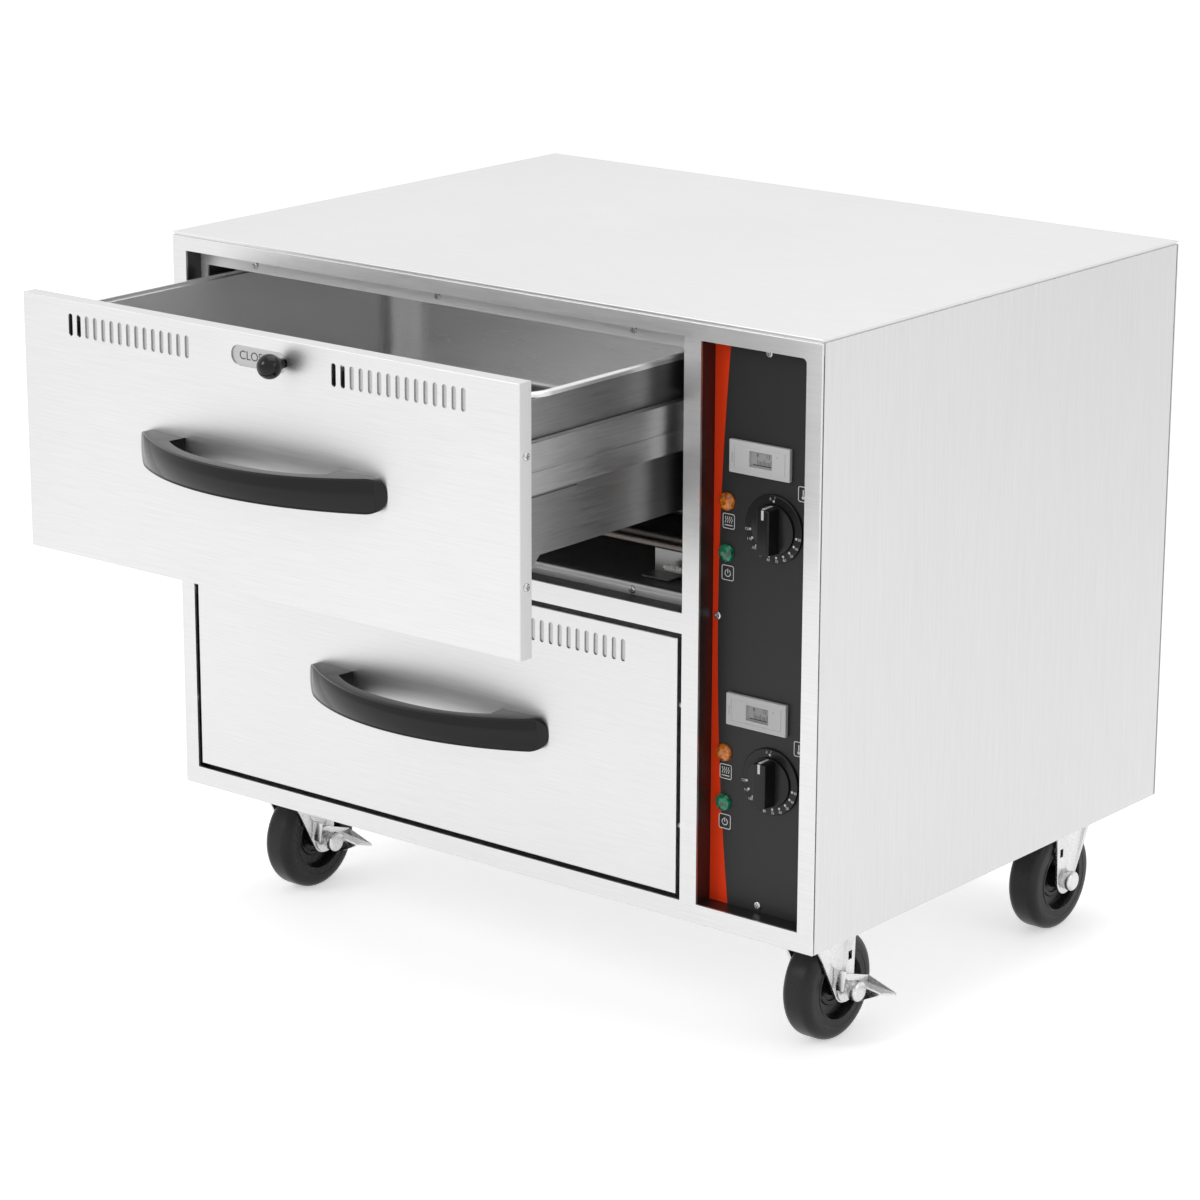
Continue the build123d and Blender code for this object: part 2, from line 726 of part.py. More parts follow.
def build_drawer(level, bay_z, opening):
    skin_y = front_y - opening
    rear_y = skin_y + panel_return
    panel_top_z = bay_z + panel_gap + panel_height
    panel_z = panel_top_z - panel_height / 2
    slot_z = panel_top_z - slot_drop - slot_height / 2
    window_z = panel_top_z - window_drop
    handle_z = panel_top_z - handle_drop
    handle_screws = [(bay_x + s * handle_screw_x, handle_z) for s in (-1, 1)]
    side_screws = [(skin_y + side_screw_setback, panel_top_z - drop) for drop in side_screw_drops]

    with BuildPart() as front:
        with BuildSketch(facing(skin_y)):
            with Locations((bay_x, panel_z)):
                Rectangle(panel_width, panel_height)
        extrude(amount=-panel_return)
        fillet(front.faces().sort_by(Axis.Y)[0].edges(), bend_radius)
        with BuildSketch(facing(skin_y + panel_sheet)):
            with Locations((bay_x, panel_z)):
                Rectangle(panel_width - 2 * panel_sheet, panel_height - 2 * panel_sheet)
        extrude(amount=-panel_return, mode=Mode.SUBTRACT)
        with BuildSketch(facing(skin_y)):
            with Locations(*slot_spots(slot_z)):
                SlotOverall(slot_height, slot_width, rotation=90)
            with Locations((bay_x, window_z)):
                SlotOverall(window_width, window_height)
            with Locations(*handle_screws):
                Circle(handle_screw_radius)
        extrude(amount=-panel_sheet, mode=Mode.SUBTRACT)
        with BuildSketch(Plane.YZ.offset(bay_x - panel_width / 2)):
            with Locations(*side_screws):
                Circle(screw_radius)
        extrude(amount=panel_width, mode=Mode.SUBTRACT)
    finish(front.part, f"{level}_drawer_front")

    backing_width = panel_width - 2 * (panel_sheet + backing_gap)
    backing_height = panel_height - 2 * (panel_sheet + backing_gap)
    with BuildPart() as backing:
        with BuildSketch(facing(skin_y + panel_sheet)):
            with Locations((bay_x, panel_z)):
                Rectangle(backing_width, backing_height)
        extrude(amount=-(panel_return - panel_sheet))
        # Channel in which the shutter slides
        with BuildSketch(facing(skin_y + panel_sheet)):
            pocket_left = shutter_left - shutter_travel - shutter_end_play
            pocket_right = shutter_right + shutter_end_play
            with Locations((bay_x + (pocket_left + pocket_right) / 2, slot_z)):
                Rectangle(pocket_right - pocket_left, shutter_height + 2 * shutter_play)
        extrude(amount=-pocket_depth, mode=Mode.SUBTRACT)
        with BuildSketch(facing(skin_y + panel_sheet)):
            with Locations(*[(bay_x + s * slot_group_x, slot_z) for s in (-1, 1)]):
                Rectangle(slot_group_length + slot_pitch, slot_height)
            with Locations(*handle_screws):
                Circle(handle_screw_radius)
        extrude(amount=-panel_return, mode=Mode.SUBTRACT)
        with BuildSketch(Plane.YZ.offset(bay_x - panel_width / 2)):
            with Locations(*side_screws):
                Circle(screw_radius)
        extrude(amount=panel_width, mode=Mode.SUBTRACT)
    finish(backing.part, f"{level}_front_backing")

    with BuildPart() as shutter:
        with BuildSketch(facing(skin_y + shutter_y)):
            with Locations((bay_x + (shutter_left + shutter_right) / 2, slot_z)):
                Rectangle(shutter_right - shutter_left, shutter_height)
            with Locations(*slot_spots(slot_z, shutter_travel)):
                SlotOverall(slot_height, slot_width, rotation=90, mode=Mode.SUBTRACT)
            clear_width = clear_slots * slot_pitch - clear_margin
            with Locations((bay_x + slot_inner_offset + (clear_slots - 1) * slot_pitch / 2, slot_z)):
                Rectangle(clear_width, slot_height + 2 * clear_margin, mode=Mode.SUBTRACT)
        extrude(amount=-shutter_sheet)
    finish(shutter.part, f"{level}_vent_shutter")

    with BuildPart() as vent_knob:
        with BuildSketch(facing(skin_y + shutter_y)):
            with Locations((bay_x + neck_x, window_z)):
                Circle(vent_neck_radius)
        extrude(amount=vent_knob_reach)
        with Locations((bay_x + neck_x, skin_y - vent_knob_reach, window_z)):
            Sphere(vent_ball_radius)
    finish(vent_knob.part, f"{level}_vent_knob")

    build_handle(f"{level}_handle", skin_y, handle_z, handle_screws)

    with BuildPart() as drawer_screws:
        with BuildSketch(Plane.YZ.offset(bay_x + panel_width / 2)):
            with Locations(*side_screws):
                Circle(screw_head_radius)
        extrude(amount=screw_head_height, taper=screw_taper)
        with BuildSketch(Plane.YZ.offset(bay_x + panel_width / 2 - screw_length)):
            with Locations(*side_screws):
                Circle(screw_radius)
        extrude(amount=screw_length)
        mirror(about=Plane.YZ.offset(bay_x))
        with BuildSketch(facing(rear_y + frame_sheet)):
            with Locations(*handle_screws):
                Circle(handle_screw_radius * 2)
        extrude(amount=-handle_screw_head)
        with BuildSketch(facing(rear_y + frame_sheet)):
            with Locations(*handle_screws):
                Circle(handle_screw_radius)
        extrude(amount=frame_sheet + panel_return + handle_screw_depth)
    finish(drawer_screws.part, f"{level}_drawer_screws")

    slide_z = panel_top_z - slide_centre_drop
    frame_top_z = panel_top_z - frame_top_drop
    frame_bottom_z = panel_top_z - frame_bottom_drop
    frame_y = rear_y + frame_length / 2
    gusset_z = slide_z - slide_height / 2 - gusset_gap
    with BuildPart() as frame:
        with BuildSketch(Plane.XY.offset(frame_bottom_z)):
            with Locations((bay_x, frame_y)):
                Rectangle(2 * frame_half, frame_length)
        extrude(amount=frame_top_z - frame_bottom_z)
        with BuildSketch(Plane.XY.offset(frame_bottom_z + frame_sheet)):
            with Locations((bay_x, frame_y)):
                Rectangle(2 * (frame_half - frame_sheet), frame_length - 2 * frame_sheet)
        extrude(amount=frame_top_z - frame_bottom_z, mode=Mode.SUBTRACT)
        with BuildSketch(Plane.XY.offset(frame_bottom_z)):
            with Locations((bay_x, frame_y)):
                Rectangle(2 * (frame_half - frame_lip), frame_length - 2 * frame_lip)
        extrude(amount=frame_sheet, mode=Mode.SUBTRACT)
        with BuildSketch(facing(rear_y)):
            with Locations(*handle_screws):
                Circle(handle_screw_radius)
        extrude(amount=-frame_sheet, mode=Mode.SUBTRACT)
        # Gussets that tie the drawer front to the sides
        with BuildSketch(Plane.YZ.offset(bay_x + frame_half)):
            with BuildLine():
                Polyline(
                    (rear_y, gusset_z),
                    (rear_y + gusset_leg, gusset_z),
                    (rear_y, gusset_z - gusset_leg),
                    close=True,
                )
            make_face()
        extrude(amount=gusset_sheet)
        with BuildSketch(facing(rear_y)):
            foot_bottom = gusset_z - gusset_leg
            foot_x = bay_x + frame_half + (gusset_sheet - gusset_foot) / 2
            with Locations((foot_x, (foot_bottom + frame_bottom_z) / 2)):
                Rectangle(gusset_foot + gusset_sheet, frame_bottom_z - foot_bottom)
        extrude(amount=-gusset_sheet)
        mirror(about=Plane.YZ.offset(bay_x))
    finish(frame.part, f"{level}_drawer_frame")

    build_pan(f"{level}_pan", frame_top_z, frame_y)

    with BuildPart() as drawer_rails:
        with BuildSketch(facing(rear_y + drawer_rail_setback)):
            for side in (-1, 1):
                flange = (drawer_flange_u, slide_thickness)
                channel(side, slide_z, drawer_web, slide_thickness, *flange, drawer_in, drawer_out)
                races(side, slide_z, inner_ball_u, inner_ball_v)
        extrude(amount=-drawer_member_length)
    finish(drawer_rails.part, f"{level}_drawer_rails")

    # The middle members follow the drawer before it runs out of them
    build_middle_rails(f"{level}_middle_rails", bay_z, rear_y + middle_setback)
    build_ball_cages(f"{level}_ball_cages", bay_z, rear_y + middle_setback)


def build_handle(name, skin_y, handle_z, screws):
    half = handle_length / 2
    inner_half = half - handle_foot
    foot_half = inner_half + handle_foot_slope
    shoulder_half = inner_half - handle_shoulder_run
    with BuildPart() as handle:
        # Plan: an arched bar on two feet, seen from above
        with BuildSketch(Plane.XY.offset(handle_z - handle_end_height / 2)):
            with BuildLine():
                ThreePointArc(
                    (bay_x - half, skin_y), (bay_x, skin_y - handle_reach), (bay_x + half, skin_y)
                )
                Line((bay_x + half, skin_y), (bay_x - half, skin_y))
            make_face()
            with BuildLine():
                grip_y = skin_y - handle_reach + handle_bar_thickness
                Line((bay_x - inner_half, skin_y), (bay_x - foot_half, skin_y - handle_foot_reach))
                Spline(
                    (bay_x - foot_half, skin_y - handle_foot_reach),
                    (bay_x - shoulder_half, skin_y - handle_shoulder_reach),
                    (bay_x, grip_y),
                    (bay_x + shoulder_half, skin_y - handle_shoulder_reach),
                    (bay_x + foot_half, skin_y - handle_foot_reach),
                )
                Line((bay_x + foot_half, skin_y - handle_foot_reach), (bay_x + inner_half, skin_y))
                Line((bay_x + inner_half, skin_y), (bay_x - inner_half, skin_y))
            make_face(mode=Mode.SUBTRACT)
        extrude(amount=handle_end_height)
        # Front view: round ends, and a bar that is slimmer in the middle
        with BuildSketch(facing(skin_y)):
            radius = handle_end_height / 2
            waist = handle_bar_height / 2
            with BuildLine():
                ThreePointArc(
                    (bay_x - half + radius, handle_z + radius),
                    (bay_x - half, handle_z),
                    (bay_x - half + radius, handle_z - radius),
                )
                ThreePointArc(
                    (bay_x - half + radius, handle_z - radius),
                    (bay_x, handle_z - waist),
                    (bay_x + half - radius, handle_z - radius),
                )
                ThreePointArc(
                    (bay_x + half - radius, handle_z - radius),
                    (bay_x + half, handle_z),
                    (bay_x + half - radius, handle_z + radius),
                )
                ThreePointArc(
                    (bay_x + half - radius, handle_z + radius),
                    (bay_x, handle_z + waist),
                    (bay_x - half + radius, handle_z + radius),
                )
            make_face()
        extrude(amount=handle_reach, mode=Mode.INTERSECT)
        with BuildSketch(facing(skin_y)):
            with Locations(*screws):
                Circle(handle_screw_radius)
        extrude(amount=handle_screw_depth, mode=Mode.SUBTRACT)
    finish(handle.part, name)


def build_pan(name, rim_z, frame_y):
    mouth_x = 2 * (frame_half - frame_sheet - pan_side_gap)
    mouth_y = frame_length - 2 * (frame_sheet + pan_side_gap)
    rim_x = 2 * (frame_half + rim_overhang)
    rim_y = frame_length - 2 * rim_end_gap
    with BuildPart() as hollow:
        with BuildSketch(Plane.XY.offset(rim_z + rim_roll)):
            with Locations((bay_x, frame_y)):
                RectangleRounded(mouth_x - 2 * pan_sheet, mouth_y - 2 * pan_sheet, pan_corner - pan_sheet)
        extrude(amount=-(pan_depth + rim_roll - pan_sheet), taper=pan_draft)
        fillet(hollow.faces().sort_by(Axis.Z)[0].edges(), pan_bottom_radius - pan_sheet)
    with BuildPart() as pan:
        with BuildSketch(Plane.XY.offset(rim_z)):
            with Locations((bay_x, frame_y)):
                RectangleRounded(mouth_x, mouth_y, pan_corner)
        extrude(amount=-pan_depth, taper=pan_draft)
        fillet(pan.faces().sort_by(Axis.Z)[0].edges(), pan_bottom_radius)
        with BuildSketch(Plane.XY.offset(rim_z)):
            with Locations((bay_x, frame_y)):
                RectangleRounded(rim_x, rim_y, pan_corner)
        extrude(amount=rim_roll)
        fillet(pan.faces().sort_by(Axis.Z)[-1].edges(), rim_radius)
        with BuildSketch(Plane.XY.offset(rim_z + pan_sheet)):
            with Locations((bay_x, frame_y)):
                RectangleRounded(rim_x - 2 * rim_roll, rim_y - 2 * rim_roll, pan_corner - rim_roll)
        extrude(amount=rim_roll, mode=Mode.SUBTRACT)
        add(hollow.part, mode=Mode.SUBTRACT)
    finish(pan.part, name)


build_drawer("upper", upper_bay_z, drawer_opening)
build_drawer("lower", lower_bay_z, 0.0)

# Control panel

knob_heights = (base_z + lower_knob_height, base_z + upper_knob_height)
lamp_x = knob_x - lamp_inset
thermometer_x = knob_x + thermometer_shift
window_x = thermometer_x + thermometer_window_shift
thermometer_body_width = thermometer_width - 2 * thermometer_rim_x
thermometer_body_height = thermometer_height - 2 * thermometer_rim_z

with BuildPart() as control_fascia:
    with BuildSketch(facing(fascia_y)):
        with Locations((control_x, lower_bay_z + control_height / 2)):
            Rectangle(control_width + 2 * skin, control_height + 2 * skin)
        for knob_z in knob_heights:
            with Locations((knob_x, knob_z)):
                Circle(bushing_radius, mode=Mode.SUBTRACT)
            with Locations((lamp_x, knob_z + heating_lamp_rise), (lamp_x, knob_z - power_lamp_drop)):
                Circle(lamp_body_radius, mode=Mode.SUBTRACT)
            with Locations((thermometer_x, knob_z + thermometer_rise)):
                Rectangle(thermometer_body_width, thermometer_body_height, mode=Mode.SUBTRACT)
        with Locations(*fascia_screw_spots):
            Circle(screw_radius, mode=Mode.SUBTRACT)
    extrude(amount=-fascia_sheet)
finish(control_fascia.part, "control_fascia")

with BuildPart() as thermometer_bezels:
    with BuildSketch(facing(fascia_y)):
        with Locations(*[(thermometer_x, z + thermometer_rise) for z in knob_heights]):
            Rectangle(thermometer_width, thermometer_height)
    extrude(amount=thermometer_reach)
    chamfer(thermometer_bezels.faces().group_by(Axis.Y)[0].edges(), thermometer_chamfer)
    with BuildSketch(facing(fascia_y)):
        with Locations(*[(thermometer_x, z + thermometer_rise) for z in knob_heights]):
            Rectangle(thermometer_body_width, thermometer_body_height)
    extrude(amount=-thermometer_depth)
    with BuildSketch(facing(fascia_y)):
        with Locations(*[(window_x, z + thermometer_rise) for z in knob_heights]):
            Rectangle(thermometer_window_width, thermometer_window_height)
    extrude(amount=thermometer_reach, mode=Mode.SUBTRACT)
finish(thermometer_bezels.part, "thermometer_bezels")

with BuildPart() as thermometer_scales:
    with BuildSketch(facing(fascia_y)):
        with Locations(*[(window_x, z + thermometer_rise) for z in knob_heights]):
            Rectangle(thermometer_window_width, thermometer_window_height)
    extrude(amount=scale_thickness)
finish(thermometer_scales.part, "thermometer_scales")


def build_lamps(name, rise):
    spots = [(lamp_x, z + rise) for z in knob_heights]
    with BuildPart() as lamps:
        with BuildSketch(facing(fascia_y)):
            with Locations(*spots):
                Circle(lamp_radius)
        extrude(amount=lamp_flange)
        with BuildSketch(facing(fascia_y)):
            with Locations(*spots):
                Circle(lamp_radius - lamp_rim)
        extrude(amount=lamp_reach)
        fillet(lamps.faces().group_by(Axis.Y)[0].edges(), lamp_dome)
        with BuildSketch(facing(fascia_y)):
            with Locations(*spots):
                Circle(lamp_body_radius)
        extrude(amount=-lamp_body_depth)
    finish(lamps.part, name)


build_lamps("heating_lamps", heating_lamp_rise)
build_lamps("power_lamps", -power_lamp_drop)

knob_back_y = fascia_y - knob_float
with BuildPart() as thermostats:
    with BuildSketch(facing(fascia_y + fascia_sheet)):
        with Locations(*[(knob_x, z) for z in knob_heights]):
            RectangleRounded(thermostat_width, thermostat_height, thermostat_corner)
    extrude(amount=-thermostat_depth)
    with BuildSketch(facing(fascia_y + fascia_sheet)):
        with Locations(*[(knob_x, z) for z in knob_heights]):
            Circle(bushing_radius)
    extrude(amount=fascia_sheet + bushing_reach)
    with BuildSketch(facing(fascia_y - bushing_reach)):
        with Locations(*[(knob_x, z) for z in knob_heights]):
            Circle(shaft_radius + shaft_clearance)
    extrude(amount=-(shaft_depth + bushing_reach), mode=Mode.SUBTRACT)
finish(thermostats.part, "thermostats")

with BuildPart() as dial_rings:
    with BuildSketch(facing(fascia_y)):
        with Locations(*[(knob_x, z) for z in knob_heights]):
            Circle(dial_radius)
    extrude(amount=dial_thickness)
    fillet(dial_rings.faces().group_by(Axis.Y)[0].edges(), dial_edge)
    with BuildSketch(facing(fascia_y)):
        with Locations(*[(knob_x, z) for z in knob_heights]):
            Circle(knob_radius + dial_gap)
    extrude(amount=dial_thickness, mode=Mode.SUBTRACT)
finish(dial_rings.part, "dial_rings")


def build_knob(name, knob_z):
    with BuildPart() as knob:
        with BuildSketch(facing(knob_back_y)):
            with Locations((knob_x, knob_z)):
                Circle(knob_radius)
        extrude(amount=knob_skirt)
        # Grip bar across the skirt
        with BuildSketch(facing(knob_back_y)):
            with Locations((knob_x, knob_z)):
                Rectangle(grip_width, 2 * knob_radius)
                Circle(knob_radius - grip_inset, mode=Mode.INTERSECT)
        extrude(amount=knob_reach, taper=grip_draft)
        fillet(knob.faces().sort_by(Axis.Y)[0].edges(), grip_radius)
        with BuildSketch(facing(knob_back_y)):
            with Locations((knob_x, knob_z)):
                Circle(shaft_radius)
        extrude(amount=-shaft_depth)
    finish(knob.part, name)


build_knob("lower_knob", knob_heights[0])
build_knob("upper_knob", knob_heights[1])

# Casters

axle_z = wheel_diameter / 2
plate_z = base_z - plate_thickness
race_z = plate_z - race_height
crown_z = race_z - crown_gap
leg_in = hub_width / 2 + fork_gap
leg_out = leg_in + fork_sheet
pin_length = crown_thickness + crown_gap + pin_head_gap
leg_length = crown_radius + caster_trail + leg_back
leg_middle = (caster_trail + leg_back - crown_radius) / 2

with BuildPart() as caster_plates:
    with BuildSketch(Plane.XY.offset(plate_z)):
        for name, side, y, trail, braked in caster_spots:
            with Locations((side * (right_x - caster_inset), y)):
                RectangleRounded(plate_width, plate_length, plate_corner)
        with Locations(*plate_bolt_spots):
            Circle(plate_bolt_radius, mode=Mode.SUBTRACT)
    extrude(amount=plate_thickness)
    with BuildSketch(Plane.XY.offset(plate_z)):
        for name, side, y, trail, braked in caster_spots:
            with Locations((side * (right_x - caster_inset), y)):
                Circle(race_radius_below)
    extrude(amount=-race_height, taper=race_taper)
    with BuildSketch(Plane.XY.offset(race_z)):
        for name, side, y, trail, braked in caster_spots:
            with Locations((side * (right_x - caster_inset), y)):
                Circle(king_pin_radius)
    extrude(amount=-pin_length)
    with BuildSketch(Plane.XY.offset(race_z - pin_length)):
        for name, side, y, trail, braked in caster_spots:
            with Locations((side * (right_x - caster_inset), y)):
                Circle(pin_head_radius)
    extrude(amount=-pin_head_height, taper=screw_taper)
finish(caster_plates.part, "caster_plates")

with BuildPart() as plate_bolts:
    with BuildSketch(Plane.XY.offset(plate_z)):
        with Locations(*plate_bolt_spots):
            RegularPolygon(plate_bolt_hex, 6)
    extrude(amount=-plate_bolt_head)
    with BuildSketch(Plane.XY.offset(plate_z)):
        with Locations(*plate_bolt_spots):
            Circle(plate_bolt_radius)
    extrude(amount=plate_thickness + skin + plate_nut_height + plate_bolt_tail)
    with BuildSketch(Plane.XY.offset(base_z + skin)):
        with Locations(*plate_bolt_spots):
            RegularPolygon(plate_bolt_hex, 6)
    extrude(amount=plate_nut_height)
finish(plate_bolts.part, "plate_bolts")


def build_caster(name, side, pivot_y, trail, braked):
    pivot_x = side * (right_x - caster_inset)
    axle_y = pivot_y + trail * caster_trail
    leg_y = pivot_y + trail * leg_middle

    with BuildPart() as fork:
        with BuildSketch(Plane.XY.offset(crown_z)):
            with Locations((pivot_x, pivot_y)):
                Circle(crown_radius)
            with Locations((pivot_x, leg_y)):
                Rectangle(2 * leg_out, leg_length)
        extrude(amount=-crown_thickness)
        for leg_x in (pivot_x - leg_out, pivot_x + leg_in):
            with BuildSketch(Plane.YZ.offset(leg_x)):
                with Locations((leg_y, crown_z - crown_thickness)):
                    Rectangle(leg_length, 2 * crown_thickness)
                with Locations((axle_y, axle_z)):
                    Circle(leg_end_radius)
                make_hull()
                with Locations((axle_y + trail * leg_slot_setback, axle_z + leg_slot_rise)):
                    Rectangle(leg_slot_width, leg_slot_height, mode=Mode.SUBTRACT)
            extrude(amount=fork_sheet)
        with BuildSketch(Plane.XY.offset(crown_z)):
            with Locations((pivot_x, pivot_y)):
                Circle(king_pin_radius + running_clearance)
        extrude(amount=-crown_thickness, mode=Mode.SUBTRACT)
        with BuildSketch(Plane.YZ.offset(pivot_x - leg_out)):
            with Locations((axle_y, axle_z)):
                Circle(axle_radius)
        extrude(amount=2 * leg_out, mode=Mode.SUBTRACT)
    finish(fork.part, f"{name}_fork")

    wheel_plane = Plane(origin=(pivot_x, axle_y, axle_z), x_dir=(1, 0, 0), z_dir=(0, -1, 0))
    rim_inner = wheel_diameter / 2 - tyre_height
    with BuildPart() as wheel:
        with BuildSketch(wheel_plane) as profile:
            with BuildLine():
                Polyline(
                    (0, sleeve_radius + running_clearance),
                    (hub_width / 2, sleeve_radius + running_clearance),
                    (hub_width / 2, hub_radius),
                    (web_half, hub_radius + hub_draft),
                    (web_half, rim_inner - rim_draft),
                    (wheel_width / 2 - rim_step, rim_inner),
                    (wheel_width / 2, rim_inner + rim_step),
                    (wheel_width / 2, wheel_diameter / 2),
                    (0, wheel_diameter / 2),
                    close=True,
                )
            make_face()
            fillet(profile.vertices().group_by(Axis.Y)[-1].sort_by(Axis.X)[-1], wheel_shoulder)
            mirror(about=Plane.YZ)
        revolve(axis=Axis((pivot_x, axle_y, axle_z), (1, 0, 0)))
    finish(wheel.part, f"{name}_wheel")

    head_x = leg_out + (brake_depth if braked else 0.0)
    with BuildPart() as axle:
        with BuildSketch(Plane.YZ.offset(pivot_x - leg_out)):
            with Locations((axle_y, axle_z)):
                Circle(axle_radius)
        extrude(amount=leg_out + head_x)
        with BuildSketch(Plane.YZ.offset(pivot_x - leg_in)):
            with Locations((axle_y, axle_z)):
                Circle(sleeve_radius)
        extrude(amount=2 * leg_in)
        with BuildSketch(Plane.YZ.offset(pivot_x + head_x)):
            with Locations((axle_y, axle_z)):
                RegularPolygon(bolt_hex_radius, 6)
        extrude(amount=bolt_hex_height)
        with BuildSketch(Plane.YZ.offset(pivot_x + head_x + bolt_hex_height)):
            with Locations((axle_y, axle_z)):
                Circle(bolt_dome_radius)
        extrude(amount=bolt_dome_height)
        fillet(axle.faces().sort_by(Axis.X)[-1].edges(), bolt_dome_edge)
        with BuildSketch(Plane.YZ.offset(pivot_x - leg_out - nut_height)):
            with Locations((axle_y, axle_z)):
                RegularPolygon(nut_radius, 6)
        extrude(amount=nut_height)
    finish(axle.part, f"{name}_axle")

    if braked:
        brake_x = pivot_x + leg_out + brake_gap
        pedal_y = axle_y + trail * (bolt_dome_radius + pedal_gap + pedal_width / 2)
        with BuildPart() as brake:
            with BuildSketch(Plane.YZ.offset(brake_x)):
                with Locations((axle_y, axle_z)):
                    Circle(leg_end_radius - pedal_gap)
                with Locations((pedal_y, axle_z - pedal_drop)):
                    Rectangle(pedal_width, pedal_root)
                make_hull()
            extrude(amount=brake_sheet)
            # Pedal that slopes down outwards, on a tapered web
            end_x = pivot_x + pedal_reach
            end_z = axle_z - pedal_slope
            web_x = brake_x + pedal_web_length
            web_z = axle_z - pedal_slope * pedal_web_length / (end_x - brake_x)
            with BuildSketch(facing(pedal_y - pedal_width / 2)):
                with BuildLine():
                    Polyline(
                        (brake_x, axle_z + brake_sheet / 2),
                        (end_x, end_z + brake_sheet / 2),
                        (end_x, end_z - brake_sheet / 2),
                        (brake_x, axle_z - brake_sheet / 2),
                        close=True,
                    )
                make_face()
            extrude(amount=-pedal_width)
            with BuildSketch(facing(pedal_y - brake_sheet / 2)):
                with BuildLine():
                    Polyline(
                        (brake_x, axle_z),
                        (web_x, web_z),
                        (web_x, web_z - pedal_web_end),
                        (brake_x, axle_z - pedal_web_root),
                        close=True,
                    )
                make_face()
            extrude(amount=-brake_sheet)
            with BuildSketch(Plane.YZ.offset(brake_x)):
                with Locations((axle_y, axle_z)):
                    Circle(axle_radius + running_clearance)
            extrude(amount=brake_sheet, mode=Mode.SUBTRACT)
        finish(brake.part, f"{name}_brake")


for spot in caster_spots:
    build_caster(*spot)

# Cable gland

with BuildPart() as cable_gland:
    with BuildSketch(facing(back_y)):
        with Locations((control_x, gland_z)):
            RegularPolygon(gland_radius, 6)
    extrude(amount=-gland_nut)
    with BuildSketch(facing(back_y)):
        with Locations((control_x, gland_z)):
            Circle(gland_tube_radius)
    extrude(amount=-gland_reach)
    fillet(cable_gland.faces().sort_by(Axis.Y)[-1].edges(), gland_edge)
    with BuildSketch(facing(back_y - skin - gland_tail)):
        with Locations((control_x, gland_z)):
            Circle(gland_thread_radius)
    extrude(amount=-(skin + gland_tail))
    with BuildSketch(facing(back_y - skin - gland_locknut)):
        with Locations((control_x, gland_z)):
            RegularPolygon(gland_radius, 6)
    extrude(amount=-gland_locknut)
    with BuildSketch(facing(back_y - skin - gland_tail)):
        with Locations((control_x, gland_z)):
            Circle(cable_bore_radius)
    extrude(amount=-(gland_reach + skin + gland_tail), mode=Mode.SUBTRACT)
finish(cable_gland.part, "cable_gland")
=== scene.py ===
import bpy
import bmesh
import math
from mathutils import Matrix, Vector


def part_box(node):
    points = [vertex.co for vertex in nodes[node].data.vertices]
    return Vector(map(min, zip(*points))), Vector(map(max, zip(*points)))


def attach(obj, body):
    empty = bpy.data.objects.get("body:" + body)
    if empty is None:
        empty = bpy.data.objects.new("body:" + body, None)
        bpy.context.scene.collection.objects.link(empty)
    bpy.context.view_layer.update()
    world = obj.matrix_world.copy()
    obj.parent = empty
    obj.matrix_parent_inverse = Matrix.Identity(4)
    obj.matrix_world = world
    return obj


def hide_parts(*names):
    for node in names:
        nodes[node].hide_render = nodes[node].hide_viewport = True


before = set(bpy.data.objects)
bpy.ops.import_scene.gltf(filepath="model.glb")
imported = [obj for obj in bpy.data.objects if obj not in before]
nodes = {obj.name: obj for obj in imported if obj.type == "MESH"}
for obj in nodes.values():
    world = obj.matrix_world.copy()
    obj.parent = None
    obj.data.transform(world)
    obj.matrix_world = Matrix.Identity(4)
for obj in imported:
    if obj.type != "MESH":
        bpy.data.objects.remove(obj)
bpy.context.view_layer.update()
mm = 0.001

# places taken over from the CAD, in millimetres
bayX, knobX = -63.65, 314.0
revealY = -136.55  # face of the liners and of the control panel
skinY = {"upper": -367.95, "lower": -156.55}
panelTop = {"upper": 642.0, "lower": 379.4}
bayZ = {"upper": 402.6, "lower": 140.0}
knobZ = {"upper": 488.0, "lower": 262.6}


def at(x, y, z):
    return Vector((x, y, z)) * mm


def clearSelection():
    if bpy.context.mode != "OBJECT":
        bpy.ops.object.mode_set(mode="OBJECT")
    bpy.ops.object.select_all(action="DESELECT")


def pickUp(piece):
    clearSelection()
    piece.select_set(True)
    bpy.context.view_layer.objects.active = piece


def startShaping(piece):
    pickUp(piece)
    bpy.ops.object.mode_set(mode="EDIT")
    bpy.ops.mesh.select_mode(type="FACE")
    bpy.ops.mesh.select_all(action="DESELECT")


def stopShaping():
    bpy.ops.object.mode_set(mode="OBJECT")


def pickFaces(piece, wanted):  # wanted(centre, normal) in the piece's own mesh coordinates
    shape = bmesh.from_edit_mesh(piece.data)
    for face in shape.faces:
        face.select = bool(wanted(face.calc_center_median(), face.normal))
    shape.select_flush_mode()
    bmesh.update_edit_mesh(piece.data)


def pickEdges(piece, wanted):  # wanted(one end, other end)
    bpy.ops.mesh.select_mode(type="EDGE")
    shape = bmesh.from_edit_mesh(piece.data)
    for edge in shape.edges:
        edge.select = bool(wanted(edge.verts[0].co, edge.verts[1].co))
    shape.select_flush_mode()
    bmesh.update_edit_mesh(piece.data)


def settle(piece):  # place goes into the mesh, object back to the origin
    pickUp(piece)
    bpy.ops.object.transform_apply(location=True, rotation=True, scale=True)


def useModifier(piece, kind, **values):
    pickUp(piece)
    modifier = piece.modifiers.new(kind.title(), kind)
    for key, value in values.items():
        setattr(modifier, key, value)
    bpy.ops.object.modifier_apply(modifier=modifier.name)


def roundEdges(piece, width, segments=3, angle=35):
    useModifier(piece, "BEVEL", width=width, segments=segments, limit_method="ANGLE",
                angle_limit=math.radians(angle), harden_normals=False)


